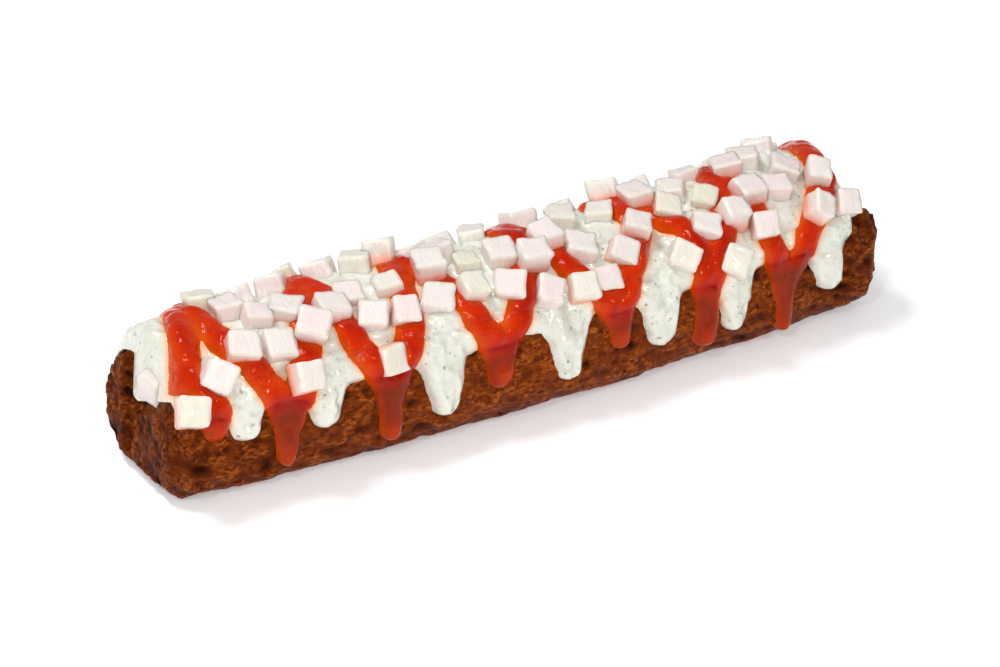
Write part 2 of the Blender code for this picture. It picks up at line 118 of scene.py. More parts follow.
# The mound and the sauces' films
MOUND_OUTLINE = (
    (-14.2, 25.0), (-12.2, 27.6), (-8.0, 30.3), (-1.5, 32.3), (5.0, 32.9), (11.0, 31.6), (15.0, 28.6),
    (18.0, 24.0),
)
MAYO_START = -92.5 * MM
MAYO_STOP = 93 * MM
MAYO_STOP_SLANT = 0.3         # how much sooner it stops for each millimetre down the near side
MAYO_STOP_ARC = -3 * MM       # where the slant begins
MAYO_NEAR_ARC = 23 * MM
MAYO_FAR_ARC = 21 * MM
MAYO_FILM = 2.3 * MM
MAYO_LUMP_SIZE = 8 * MM
MAYO_LUMP_HEIGHT = 0.9 * MM
MOUND_SHOULDER = 5 * MM
MAYO_END_ROUNDING = 5 * MM
MAYO_CORNER = 4 * MM
MAYO_DIVE = 10 * MM           # how deep it falls away past a slanted end
MAYO_DRIPS = (
    (-77.9, 14.9), (-58.6, 13.4), (-29.2, 8.6), (2.8, 8.9), (28.0, 10.3), (48.7, 8.7), (76.7, 10.9),
)
MAYO_DRIP_ROOT = 8.5 * MM
MAYO_DRIP_TIP = 3.9 * MM

# The fine relief of the mayonnaise: lumps, finer lumps, and streaks that run down its sides
MAYO_SMALL_SIZE = 2.8 * MM
MAYO_SMALL_HEIGHT = 0.8 * MM
MAYO_FINE_SIZE = 1.5 * MM
MAYO_FINE_HEIGHT = 0.35 * MM
MAYO_STREAK_WIDTH = 1.7 * MM
MAYO_STREAK_LENGTH = 8 * MM
MAYO_STREAK_HEIGHT = 0.35 * MM
MAYO_STREAK_ARC = 16 * MM     # how far from the crest they begin
MAYO_STREAK_RISE = 6 * MM
MAYO_CLING = 0.5 * MM         # how much it rises beside a piece of onion

# The ketchup: one zigzag ribbon, whose arms turn back on the far side and meet in the drips. Turns
# are in mm along the sausage.
KETCHUP_FILM = 2.2 * MM
KETCHUP_TURNS = (-79.0, -51.0, -27.5, 1.0, 28.5, 60.0, 88.0)
KETCHUP_TURN_ARC = -9
# Each arm's way, (x, arc) in mm, from its turn to its drip
KETCHUP_ARMS = (
    ((-79, -9), (-84.5, 4), (-88.4, 14.5), (-85, 22)),
    ((-79, -9), (-77, 8), (-72.4, 18), (-67.2, 28)),
    ((-51, -9), (-58, 8), (-63.1, 18), (-67.2, 28)),
    ((-51, -9), (-49, 3), (-49.3, 15.5), (-42.2, 27)),
    ((-27.5, -9), (-33.5, 9), (-37, 17), (-42.2, 27)),
    ((-27.5, -9), (-23, 5), (-20.3, 15), (-15.2, 26)),
    ((1, -9), (0, 4), (-8.5, 16), (-15.2, 26)),
    ((1, -9), (6, 7), (8.6, 14), (16.4, 24)),
    ((28.5, -9), (29.5, 6), (21.3, 15), (16.4, 24)),
    ((28.5, -9), (40, 10), (40.7, 22)),
    ((60, -9), (52, 9), (40.7, 22)),
    ((60, -9), (60, 18), (64, 30)),
    ((88, -9), (82, 8), (71.8, 18), (64, 30)),
)
KETCHUP_ARM = 3.5 * MM
# Drips down the near side, in mm: x, the arc where it leaves the arms, the tip's height and half width
KETCHUP_DRIPS = (
    (-84.8, 22, 16.1, 3.1), (-67.8, 28, 5.7, 2.5), (-42.6, 27, 5.6, 2.9), (-14.8, 26, 11.7, 3.9),
    (17.0, 24, 12.6, 3.1), (40.5, 22, 6.4, 3.7), (64.1, 30, 3.6, 2.6),
)
KETCHUP_FAR_DRIP = 3.2 * MM
KETCHUP_TIP_SWELL = 0.9 * MM
KETCHUP_TIP_REACH = 3.2 * MM
KETCHUP_WAVES = (4.5 * MM, 6 * MM)
KETCHUP_WAVE_HEIGHT = 0.4 * MM
KETCHUP_RIPPLES = (2 * MM, 2.6 * MM)
KETCHUP_RIPPLE_HEIGHT = 0.25 * MM
KETCHUP_CLING = 0.6 * MM      # how much it rises beside a piece of onion
KETCHUP_DENT = 1.6 * MM       # how much it sinks under one
KETCHUP_FILLET = 1.2 * MM     # how thick it gathers past the mayonnaise's edge
KETCHUP_FILLET_REACH = 2 * MM
KETCHUP_CALM = 0.8            # how much of the mayonnaise's relief it levels out
FAR_SEED = 7
FAR_TIP_HEIGHT = (7, 19)
EDGE_WIDTH = 3.2 * MM
BLEND_WIDTH = 0.9 * MM
KETCHUP_BLEND = 0.6 * MM
SUNK = 1.6 * MM
OVERLAP = 0.6 * MM            # how deep a sauce's underside reaches into what it lies on
RIM = 0.03 * MM               # thickness left at a sauce's edge

# The onion: rows of (arc, places along the sausage) and sizes, in mm
ONION_ROWS = (
    (-2, (-71, -57, -19, 7, 13.5, 24, 34.6, 45, 61)),
    (3, (-67, -60, -44.6, -35, -24, -14.5, -6.7, 5, 39, 50, 73)),
    (7, (-78, -51, -29, -1, 12, 19.6, 28, 59.9, 68, 79.6)),
    (11, (-75, -66.5, -58.5, -43, -36, -27, -18.5, -9.5, 21, 44, 52.5, 64)),
    (15.5, (-83, -56.5, -30.5, -0.8, 7, 14.3, 35, 58.5, 74.4, 84)),
    (20, (-90.4, -64, -42.5, 48)),
)
ONION_SIZE = (6.0, 7.6)
ONION_TILT = math.radians(13)
ONION_SPIN = (-0.7, 0.05)     # turn from square with the sausage
ONION_SINK = 1.9 * MM
ONION_FLATNESS = (0.72, 1.0)  # height as a share of the width
ONION_CORNER = 0.07           # how far a corner strays, as a share of the size
ONION_SPACING = 0.45          # of two pieces' sizes together
ONION_ARC_JITTER = 0.8
ONION_SEED = 14
ONION_MARGIN = 2 * MM
FAR_ONION_ARCS = (-8, -14, -20)
FAR_ONION_START = -72
FAR_ONION_STOP = 86
FAR_ONION_STEP = 9.5
FAR_ONION_JITTER = (4, 2)     # along the sausage and round it
END_ONION_PLACE = (-90.4, -0.6, 24.2)
END_ONION_TURN = (0.1, -0.15, 0.2)
END_ONION_SIZE = 7
ON_KETCHUP = -1.0 * MM        # a piece belongs to the ketchup if its middle lies further inside than this
ONION_CELLS = 9               # along each edge of a piece
ONION_SQUARENESS = 9          # the power of its superellipsoid
ONION_DISH = 0.032            # how far its faces sink in, as a share of the size
ONION_LAYER_SIZE = 0.9 * MM
ONION_LAYER_HEIGHT = 0.07 * MM
ONION_UNEVEN_SIZE = 1.7 * MM
ONION_UNEVEN_HEIGHT = 0.25 * MM
ONION_WET_HEIGHT = 2 * MM     # how high the ketchup wets it, and over what height that fades
ONION_WET_FADE = 0.8 * MM

# The herb flakes
FLAKE_SEED = 61
FLAKE_TRIES = 12              # places drawn for each flake that is wanted
FLAKE_MARGIN = 1.2 * MM       # from the mayonnaise's edge
FLAKE_KETCHUP_GAP = 0.4 * MM
FLAKE_REACH = (0.12, 0.36)
FLAKE_UNEVEN = (0.55, 1.25)   # how far its six corners differ
FLAKE_LENGTHENING = 0.6
FLAKE_TILT = 0.15
FLAKE_LIFT = 0.02 * MM
FLAKE_HALF_THICKNESS = 0.05 * MM

MAYO_STEP = 0.5 * MM
KETCHUP_STEP = 0.38 * MM
OVER_SKIN_REACH = 3 * MM      # past the mayonnaise's edge, where the ketchup has turned dark

# The stage
CAMERA_TARGET = (-0.00274, CENTRING, 0.01266)
FLOOR_REACH = 3.0
FLOOR_GLOW = 0.25
WORLD_LIGHT = 0.4
# Each light's name, place, width and height in metres, and power in watts
LIGHTS = (
    ("top_light", (-0.25, 0.15, 0.75), (0.22, 0.17), 2.9),
    ("front_light", (-0.4, -0.72, 0.48), (0.12, 0.1), 2.2),
    ("left_light", (-0.45, -0.45, 0.6), (0.07, 0.08), 1.0),
    ("right_light", (0.2, -0.6, 0.5), (0.05, 0.07), 0.6),
)

LATTICE = 32


# Noise and outlines

def value_noise(x, y, z, seed):
    """Random heights from -1 to 1 at whole-number points, joined by smooth steps."""
    table = np.random.default_rng(seed).uniform(-1, 1, (LATTICE, LATTICE, LATTICE))
    corner = [np.floor(c).astype(int) for c in (x, y, z)]
    part = [c - k for c, k in zip((x, y, z), corner)]
    part = [p * p * (3 - 2 * p) for p in part]
    total = 0
    for i in (0, 1):
        for j in (0, 1):
            for k in (0, 1):
                share = abs(1 - i - part[0]) * abs(1 - j - part[1]) * abs(1 - k - part[2])
                total = total + share * table[
                    (corner[0] + i) % LATTICE, (corner[1] + j) % LATTICE, (corner[2] + k) % LATTICE]
    return total


def outline_radius(outline, angle, closed):
    """Distance from the axis to an outline, along a ray at each angle; nothing past open ends."""
    y, z = (np.array(outline) * MM - (AXIS_Y, AXIS_Z)).T
    outline_angle = np.arctan2(z, y)
    radius = np.hypot(y, z)
    if closed:
        return np.interp(angle, outline_angle, radius, period=2 * math.pi)
    order = np.argsort(outline_angle)
    return np.interp(angle, outline_angle[order], radius[order], left=0, right=0)


def rounded(radius_at):
    """A radius function with its corners averaged out over a few degrees either side."""
    offsets = np.linspace(-3, 3, 13)
    shares = np.exp(-offsets ** 2 / 2)
    shares /= shares.sum()

    def radius(angle):
        return sum(share * radius_at(angle + offset * ROUNDING_ANGLE)
                   for offset, share in zip(offsets, shares))
    return radius


def wrapped(angle):
    """The same angle between minus and plus half a turn."""
    return (angle + math.pi) % (2 * math.pi) - math.pi


smooth_skin = rounded(lambda angle: outline_radius(SKIN_OUTLINE, angle, True))
smooth_mound = rounded(lambda angle: outline_radius(MOUND_OUTLINE, wrapped(angle), False))


def skin_radius(angle):
    """The skin without its crags, cut flat underneath."""
    down = np.maximum(-np.sin(angle), 1e-6)
    return np.minimum(smooth_skin(angle), np.where(np.sin(angle) < 0, AXIS_Z / down, 1.0))


def outside_radius(angle):
    """The outside of skin and mound together."""
    return np.maximum(skin_radius(angle), smooth_mound(angle))


ARC_ANGLES = np.radians(np.arange(-90, 270.5, 0.5))
ARC_Y = outside_radius(ARC_ANGLES) * np.cos(ARC_ANGLES)
ARC_Z = outside_radius(ARC_ANGLES) * np.sin(ARC_ANGLES)
ARC_LENGTHS = np.concatenate(([0], np.cumsum(np.hypot(np.diff(ARC_Y), np.diff(ARC_Z)))))
ARC_LENGTHS -= np.interp(math.pi / 2, ARC_ANGLES, ARC_LENGTHS)


def arc_of(angle):
    """Arc from the crest to an angle, positive on the near side."""
    return np.interp((angle + math.pi / 2) % (2 * math.pi) - math.pi / 2, ARC_ANGLES, ARC_LENGTHS)


def angle_of(arc):
    """The angle at which an arc from the crest ends."""
    return np.interp(arc, ARC_LENGTHS, ARC_ANGLES)


def arc_at_height(height, near):
    """Arc from the crest down to a height, on the near or the far side."""
    side = (ARC_LENGTHS > 15 * MM) if near else (ARC_LENGTHS < -12 * MM)
    steps = np.where(side, np.abs(ARC_Z + AXIS_Z - height), 1.0)
    return ARC_LENGTHS[np.argmin(steps)]


def bow(x):
    """How far the section is shifted in y at x, so that the sausage lies in a shallow bow."""
    return BOW * ((x / (LENGTH / 2)) ** 2 - 1) + CENTRING


def round_axis(x, angle, radius):
    """Points at x and a radius round the bowed axis."""
    x, angle, radius = np.broadcast_arrays(x, angle, radius)
    return np.stack((x, AXIS_Y + radius * np.cos(angle) + bow(x), AXIS_Z + radius * np.sin(angle)), -1)


# Outlines of the sauces on the rolled-out surface

def capsule(x, arc, start, end, start_width, end_width):
    """How far a place lies inside a tapered strip with round ends; negative outside it."""
    start, end = np.array(start), np.array(end)
    along = end - start
    share = ((x - start[0]) * along[0] + (arc - start[1]) * along[1]) / (along @ along)
    share = np.clip(share, 0, 1)
    distance = np.hypot(x - start[0] - share * along[0], arc - start[1] - share * along[1])
    return start_width + (end_width - start_width) * share - distance


def joined(strips, blend):
    """One outline round several strips, with fillets where they meet."""
    return blend * np.logaddexp.reduce([strip / blend for strip in strips])


def far_drips(places, seed):
    """Drips for the far side: each at its place, to a random height."""
    heights = np.random.default_rng(seed).uniform(*FAR_TIP_HEIGHT, len(places))
    return [(place, height) for place, height in zip(places, heights)]


def middles(places):
    """The places halfway between neighbours."""
    return [(a + b) / 2 for a, b in zip(places, places[1:])]


def drip_strips(x, arc, drips, near, root_arc, root_width, tip_width):
    """Strips that run straight down from the sauce to each drip's tip."""
    strips = []
    for place, height in drips:
        tip_arc = arc_at_height(height * MM, near)
        tip_arc -= math.copysign(tip_width, tip_arc)
        strips.append(capsule(x, arc, (place * MM, root_arc), (place * MM, tip_arc), root_width, tip_width))
    return strips


def from_mayo_ends(x, arc):
    """How far a place lies from the nearer end of the mayonnaise; the right end slants on the near side."""
    sooner = MAYO_STOP_SLANT * (np.clip(arc, MAYO_STOP_ARC, MAYO_NEAR_ARC) - MAYO_STOP_ARC)
    return np.minimum(x - MAYO_START, MAYO_STOP - sooner - x)


def mayo_inside(x, arc, corner=0.0):
    """How far a place lies inside the mayonnaise's outline, its ends' corners rounded off by a radius."""
    sides = np.minimum(MAYO_NEAR_ARC - arc, arc + MAYO_FAR_ARC)
    patch = np.minimum(from_mayo_ends(x, arc), sides)
    if corner:
        missing = np.hypot(np.maximum(corner - from_mayo_ends(x, arc), 0), np.maximum(corner - sides, 0))
        patch = np.where(patch > corner, patch, corner - missing)
    near = drip_strips(x, arc, MAYO_DRIPS, True,
                       MAYO_NEAR_ARC - MAYO_DRIP_ROOT, MAYO_DRIP_ROOT, MAYO_DRIP_TIP)
    far = drip_strips(x, arc, far_drips(middles(KETCHUP_TURNS), FAR_SEED), False,
                      MAYO_DRIP_ROOT - MAYO_FAR_ARC, MAYO_DRIP_ROOT, MAYO_DRIP_TIP)
    return joined([patch] + near + far, BLEND_WIDTH)


def mayo_edge(x, arc):
    """How far a place lies inside the mayonnaise as it is seen, with rounded corners."""
    return mayo_inside(x, arc, MAYO_CORNER)


def strip_along(x, arc, places, width):
    """How far a place lies inside a strip of one width that passes through several places."""
    places = np.array(places) * MM
    lengths = [capsule(x, arc, start, end, width, width) for start, end in zip(places, places[1:])]
    return np.maximum.reduce(lengths)


def ketchup_inside(x, arc):
    """How far a place lies inside the ketchup's outline: a zigzag and its drips."""
    strips = [strip_along(x, arc, places, KETCHUP_ARM) for places in KETCHUP_ARMS]
    for place, root_arc, height, width in KETCHUP_DRIPS:
        strips += drip_strips(x, arc, [(place, height)], True, root_arc * MM, KETCHUP_ARM, width * MM)
    strips += drip_strips(x, arc, far_drips(KETCHUP_TURNS, FAR_SEED + 1), False,
                          KETCHUP_TURN_ARC * MM, KETCHUP_ARM, KETCHUP_FAR_DRIP)
    return joined(strips, KETCHUP_BLEND)


def film(inside):
    """Share of a sauce's full thickness, rising steeply from its edge to a level top."""
    depth = np.clip(inside / EDGE_WIDTH, 0, 1)
    return np.sqrt(1 - (1 - depth) ** 2)


# Heights of what lies on what

def crags(x, angle, seed):
    """Relief of the browned skin, longer along the sausage than round it."""
    across = LENGTH / 12 / CRAG_SIZE
    coarse = value_noise(x / CRAG_SIZE / CRAG_STRETCH, across * np.cos(angle), across * np.sin(angle), seed)
    fine = value_noise(2 * x / CRAG_SIZE / CRAG_STRETCH, 2 * across * np.cos(angle),
                       2 * across * np.sin(angle), seed + 1)
    return CRAG_HEIGHT * (coarse + 0.5 * fine)


def craggy_skin_radius(x, angle):
    """The skin with its crags, which die out towards the flat underside."""
    plain = skin_radius(angle)
    height = AXIS_Z + plain * np.sin(angle)
    return plain + crags(x, angle, 3) * np.clip(height / FLAT_MARGIN, 0, 1)


def mayo_radius(x, angle):
    """The outside of the mayonnaise: mound and drips, sunk under the skin elsewhere."""
    arc = arc_of(angle)
    inside = mayo_inside(x, arc)
    lumps = value_noise(x / MAYO_LUMP_SIZE, arc / MAYO_LUMP_SIZE, np.zeros_like(arc), 5)
    from_end = from_mayo_ends(x, arc)
    shoulder = film(from_end * EDGE_WIDTH / MOUND_SHOULDER)
    swell = np.maximum(smooth_mound(angle) - skin_radius(angle), 0) * shoulder
    rise = (SUNK + MAYO_FILM + MAYO_LUMP_HEIGHT * lumps) * film(inside)
    dive = np.clip(-2 * from_end, 0, MAYO_DIVE)
    return skin_radius(angle) - SUNK - dive + rise + swell * np.clip(inside / EDGE_WIDTH, 0, 1)


def ketchup_radius(x, angle):
    """The outside of the ketchup, sunk under what it lies on elsewhere."""
    support = np.maximum(craggy_skin_radius(x, angle), mayo_radius(x, angle))
    return support - SUNK + (SUNK + KETCHUP_FILM) * film(ketchup_inside(x, arc_of(angle)))


# Making meshes

def add_piece(name, points, faces, finish, smooth=True):
    """A mesh object at the origin from an array of points and an array of quads or triangles."""
    mesh = bpy.data.meshes.new(name)
    mesh.vertices.add(len(points))
    mesh.vertices.foreach_set("co", np.ascontiguousarray(points, dtype=np.float32).ravel())
    sides = faces.shape[1]
    mesh.loops.add(faces.size)
    mesh.loops.foreach_set("vertex_index", faces.ravel().astype(np.int32))
    mesh.polygons.add(len(faces))
    mesh.polygons.foreach_set("loop_start", np.arange(0, faces.size, sides, dtype=np.int32))
    mesh.update(calc_edges=True)
    mesh.validate()
    mesh.polygons.foreach_set("use_smooth", np.full(len(mesh.polygons), smooth))
    mesh.materials.append(finish)
    piece = bpy.data.objects.new(name, mesh)
    bpy.context.scene.collection.objects.link(piece)
    return piece


def add_attribute(piece, name, values):
    """One number at each point of a piece, for its material to read."""
    attribute = piece.data.attributes.new(name, "FLOAT", "POINT")
    attribute.data.foreach_set("value", np.ascontiguousarray(values, dtype=np.float32))


def grid_faces(rows, columns, first=0):
    """Quads of a grid of points, numbered row by row."""
    corner = first + np.arange(rows - 1)[:, None] * columns + np.arange(columns - 1)[None, :]
    return np.stack((corner, corner + columns, corner + columns + 1, corner + 1), -1).reshape(-1, 4)


def noise_at(points, size, seed, stretch=(1, 1, 1)):
    """Value noise at points, with lumps of a size, longer along an axis by its stretch."""
    scaled = points / size / np.array(stretch)
    return value_noise(scaled[..., 0] + 7.3, scaled[..., 1] + 3.1, scaled[..., 2] + 5.7, seed)


# The sausage

def cut_path(near_rim, far_rim, corners, stops, shares):
    """Points (y, z) in the split, at shares of the way from the near rim through corners to the far one."""
    corners = [np.broadcast_to(np.array(corner) * MM, near_rim.shape) for corner in corners]
    corners = [near_rim] + corners + [far_rim]
    stops = (0,) + stops + (1,)
    path = near_rim + 0 * shares
    for left, right, start, stop in zip(corners, corners[1:], stops, stops[1:]):
        share = np.clip((shares - start) / (stop - start), 0, 1)
        path = path + (right - left) * share
    return path


def softened(loop, reach):
    """A closed section loop with its corners averaged over a reach of points either side."""
    offsets = np.arange(-2 * reach, 2 * reach + 1)
    shares = np.exp(-(offsets / reach) ** 2)
    shares /= shares.sum()
    return sum(share * np.roll(loop, offset, axis=1) for share, offset in zip(shares, offsets))


def sausage_loops(x, count):
    """The section in (y, z) at each x: outside from the near rim round below, then back over the cut."""
    shares = np.linspace(0, 1, count + 1)
    angle = NEAR_RIM_ANGLE + shares * (2 * math.pi + FAR_RIM_ANGLE - NEAR_RIM_ANGLE)
    radius = craggy_skin_radius(x[:, None], angle[None, :])
    outside = np.stack((AXIS_Y + radius * np.cos(angle), AXIS_Z + radius * np.sin(angle)), -1)
    inner = cut_path(outside[:, :1], outside[:, -1:], CUT_CORNERS, CUT_SHARES, shares[None, :, None])
    return np.concatenate((outside, inner[:, -2:0:-1]), axis=1)


def end_dome(x):
    """How far the section has drawn in at x, by a quarter circle towards each end."""
    past = np.clip((np.abs(x) - (SECTION_REACH - END_ROUNDING)) / END_ROUNDING, 0, 1)
    return END_ROUNDING * (1 - np.sqrt(1 - past ** 2))


def browned_relief(points):
    """Wrinkles and blisters of the fried skin: knobs, slanting short folds, fine grain and pits."""
    slanted = points @ np.array(SKIN_SLANT)
    fibres = noise_at(slanted, FIBRE_SIZE, 21, (3.2, 1, 1))
    folds = 1 - 2.2 * np.abs(noise_at(slanted, FOLD_SIZE, 22, (1.8, 1, 1)))
    knobs = noise_at(points, KNOB_SIZE, 28, (1.4, 1, 1))
    blisters = noise_at(points, BLISTER_SIZE, 23, (1.3, 1, 1))
    pits = np.clip(noise_at(points, PIT_SIZE, 24) - 0.4, 0, 1) * 2.2
    rougher = np.clip((np.abs(points[..., 0]) - ROUGH_START) / ROUGH_WIDTH, 0, 1)
    return (FIBRE_HEIGHT * fibres + (FOLD_HEIGHT + END_FOLD_HEIGHT * rougher) * folds
            + (KNOB_HEIGHT + END_KNOB_HEIGHT * rougher) * knobs + BLISTER_HEIGHT * blisters - PIT_DEPTH * pits)


def section_places():
    """Where the sections lie along the sausage: evenly, and closer where its ends are rounded."""
    even = np.linspace(END_ROUNDING - SECTION_REACH, SECTION_REACH - END_ROUNDING, SECTIONS)
    rounded_end = SECTION_REACH - END_ROUNDING * (1 - np.sin(np.linspace(0, math.pi / 2, END_SECTIONS)))
    return np.unique(np.concatenate((even, rounded_end, -rounded_end)))


def sausage_bar(settings, x):
    """Points of the section at each x with the skin's relief, and the height of that relief."""
    loops = softened(sausage_loops(x, SECTION_POINTS), SECTION_SOFTENING)
    along = np.roll(loops, -1, axis=1) - np.roll(loops, 1, axis=1)
    outward = np.stack((along[..., 1], -along[..., 0]), -1)
    outward /= np.maximum(np.linalg.norm(outward, axis=-1, keepdims=True), 1e-9)
    place = np.concatenate((np.broadcast_to(x[:, None, None], loops.shape[:2] + (1,)), loops), -1)
    relief = browned_relief(place) * settings.relief * np.clip(loops[..., 1] / FLAT_MARGIN, 0, 1)
    place[..., 1:] += outward * (relief - end_dome(x)[:, None])[..., None]
    place[..., 2] = np.maximum(place[..., 2], 0)
    return place, relief


def sausage_cap(settings, section, shift):
    """A rough domed face: rows of points from a section's outside to its inside, without its border.

    The shift moves the noise, so that the two ends differ.
    """
    count = SECTION_POINTS
    outside = section[:count + 1]
    inside = np.concatenate((section[:1], section[:count:-1], section[count:count + 1]))
    shares = np.linspace(0, 1, CAP_ROWS)[:, None, None]
    cap = outside * (1 - shares) + inside * shares
    flat = cap * (0, 1, 1) + (shift, 0, 0)
    ridges = noise_at(flat, 1.5 * MM, 25, (1, 1, 2.6))
    knobs = noise_at(flat, 2.6 * MM, 26)
    blisters = noise_at(flat, 0.9 * MM, 27)
    from_rims = np.minimum(np.arange(count + 1), np.arange(count, -1, -1)) / 8
    from_edge = np.minimum(shares, 1 - shares)[..., 0] * from_rims[None, :]
    swell = CAP_SWELL * np.sqrt(1 - (1 - np.clip(4 * from_edge, 0, 1)) ** 2)
    rough = CAP_RIDGE_HEIGHT * ridges + CAP_KNOB_HEIGHT * knobs + CAP_BLISTER_HEIGHT * blisters
    rough = rough * settings.relief * np.clip(3 * from_edge, 0, 1)
    cap[..., 0] += np.sign(cap[..., 0]) * np.minimum(swell + rough, END_BULGE)
    return cap[1:-1, 1:-1], rough[1:-1, 1:-1]


def bar_quads(rows):
    """Quads between the bar's sections, each a closed ring of points."""
    ring = 2 * SECTION_POINTS
    corner = np.arange(rows - 1)[:, None] * ring + np.arange(ring)[None, :]
    beside = np.arange(rows - 1)[:, None] * ring + (np.arange(ring) + 1)[None, :] % ring
    return np.stack((corner, beside, beside + ring, corner + ring), -1).reshape(-1, 4)


def cap_quads(section_start, cap_start):
    """Quads of an end face: a grid whose outer columns shrink to the two rims, where fans close it."""
    count = SECTION_POINTS
    numbers = np.empty((CAP_ROWS, count + 1), dtype=int)
    numbers[0] = section_start + np.arange(count + 1)
    numbers[-1] = section_start + np.concatenate(([0], np.arange(2 * count - 1, count, -1), [count]))
    numbers[:, 0] = section_start
    numbers[:, -1] = section_start + count
    inner = numbers[1:-1, 1:-1]
    inner[:] = cap_start + np.arange(inner.size).reshape(inner.shape)
    between = (numbers[:-1, 1:-2], numbers[:-1, 2:-1], numbers[1:, 2:-1], numbers[1:, 1:-2])
    near_fan = (numbers[:-2:2, 0], numbers[:-2:2, 1], numbers[1:-1:2, 1], numbers[2::2, 1])
    far_fan = (numbers[:-2:2, -2], numbers[:-2:2, -1], numbers[2::2, -2], numbers[1:-1:2, -2])
    return np.concatenate([np.stack(corners, -1).reshape(-1, 4)
                           for corners in (between, near_fan, far_fan)])


def build_sausage(settings):
    """A closed bar: a C-shaped section carried along the bow, with rough domed ends."""
    x = section_places()
    bar, relief = sausage_bar(settings, x)
    left, left_rough = sausage_cap(settings, bar[0], 0.0)
    right, right_rough = sausage_cap(settings, bar[-1], -0.3)
    last_section = relief.size - 2 * SECTION_POINTS
    faces = np.concatenate((
        bar_quads(len(x)),
        cap_quads(0, relief.size)[:, ::-1],
        cap_quads(last_section, relief.size + left_rough.size),
    ))
    points = np.concatenate([part.reshape(-1, 3) for part in (bar, left, right)])
    points[:, 1] += bow(points[:, 0])
    heights = np.concatenate([part.ravel() for part in (relief, left_rough, right_rough)])
    return points, faces, heights / MM


# The sauces

def bed_points(x, arc):
    """What the sauces lie on: the skin, and between the rims the faces of the split."""
    angle = angle_of(arc)
    radius = craggy_skin_radius(x, angle) - OVERLAP
    skin = round_axis(x, angle, radius)
    rims = [round_axis(x, np.full_like(x, rim), craggy_skin_radius(x, np.full_like(x, rim)) - OVERLAP)
            for rim in (NEAR_RIM_ANGLE, FAR_RIM_ANGLE)]
    near_arc, far_arc = arc_of(NEAR_RIM_ANGLE), arc_of(FAR_RIM_ANGLE)
    share = np.clip((near_arc - arc) / (near_arc - far_arc), 0, 1)[..., None]
    shift = bow(x)[..., None] * (1, 0)
    split = cut_path(rims[0][..., 1:] - shift, rims[1][..., 1:] - shift, BED_CORNERS, BED_SHARES, share)
    between = ((arc < near_arc) & (arc > far_arc))[..., None]
    return np.concatenate((skin[..., :1], np.where(between, split + shift, skin[..., 1:])), -1)


def rolled_noise(x, arc, size, seed):
    """Value noise on the rolled-out surface, with lumps of a length along it and one round it."""
    return value_noise(x / size[0], arc / size[1], np.zeros_like(x), seed)


def near_onion(x, arc, onions):
    """One beside a piece of onion, falling to nothing over a millimetre, for the sauce that clings to it."""
    closest = np.full(x.shape, 1.0)
    for onion in onions:
        distance = np.hypot(x - onion.x, arc - onion.arc) - onion.size * 0.55
        closest = np.minimum(closest, np.maximum(distance, 0))
    return np.exp(-closest / (0.8 * MM))


def under_onion(x, arc, onions):
    """One under the middle of a piece of onion, nothing past its sides."""
    deepest = np.zeros(x.shape)
    for onion in onions:
        deepest = np.maximum(deepest, 1 - np.hypot(x - onion.x, arc - onion.arc) / (onion.size * 0.68))
    return np.clip(3 * deepest, 0, 1)


def mayo_points(x, arc, onions, calm=0.0):
    """The top of the mayonnaise, and beyond its edge what it lies on; calm takes its lumps away."""
    angle = angle_of(arc)
    inside = mayo_edge(x, arc)
    small = rolled_noise(x, arc, (MAYO_SMALL_SIZE, MAYO_SMALL_SIZE), 31)
    fine = rolled_noise(x, arc, (MAYO_FINE_SIZE, MAYO_FINE_SIZE), 33)
    streaks = rolled_noise(x, arc, (MAYO_STREAK_WIDTH, MAYO_STREAK_LENGTH), 32)
    streaks = streaks * np.clip((np.abs(arc) - MAYO_STREAK_ARC) / MAYO_STREAK_RISE, 0, 1)
    detail = MAYO_SMALL_HEIGHT * small + MAYO_FINE_HEIGHT * fine + MAYO_STREAK_HEIGHT * streaks
    detail = detail * (1 - calm) + MAYO_CLING * near_onion(x, arc, onions)
    radius = mayo_radius(x, angle) + detail * film(inside)
    top = round_axis(x, angle, np.maximum(radius, craggy_skin_radius(x, angle) - OVERLAP))
    bed = bed_points(x, arc)
    from_end = np.clip(from_mayo_ends(x, arc) / MAYO_END_ROUNDING, 0, 1)
    full = np.sqrt(1 - (1 - from_end) ** 2)[..., None]
    return bed + (top - bed) * full


def lifted(points, arc, height):
    """Points moved away from the axis by a height."""
    angle = angle_of(arc)
    away = np.stack((np.zeros_like(angle), np.cos(angle), np.sin(angle)), -1)
    return points + away * np.asarray(height)[..., None]


def ketchup_edge(x, arc):
    """How far a place lies inside the ketchup, which also stops short of the mayonnaise's ends."""
    return np.minimum(ketchup_inside(x, arc), from_mayo_ends(x, arc) - 0.5 * MM)


def drip_tips(x, arc):
    """One at the tip of each of the ketchup's drips, falling to nothing over a few millimetres."""
    total = 0
    for place, _, height, width in KETCHUP_DRIPS:
        tip_arc = arc_at_height(height * MM, True) - width * MM
        total = total + np.exp(-((x - place * MM) ** 2 + (arc - tip_arc) ** 2) / KETCHUP_TIP_REACH ** 2)
    return total


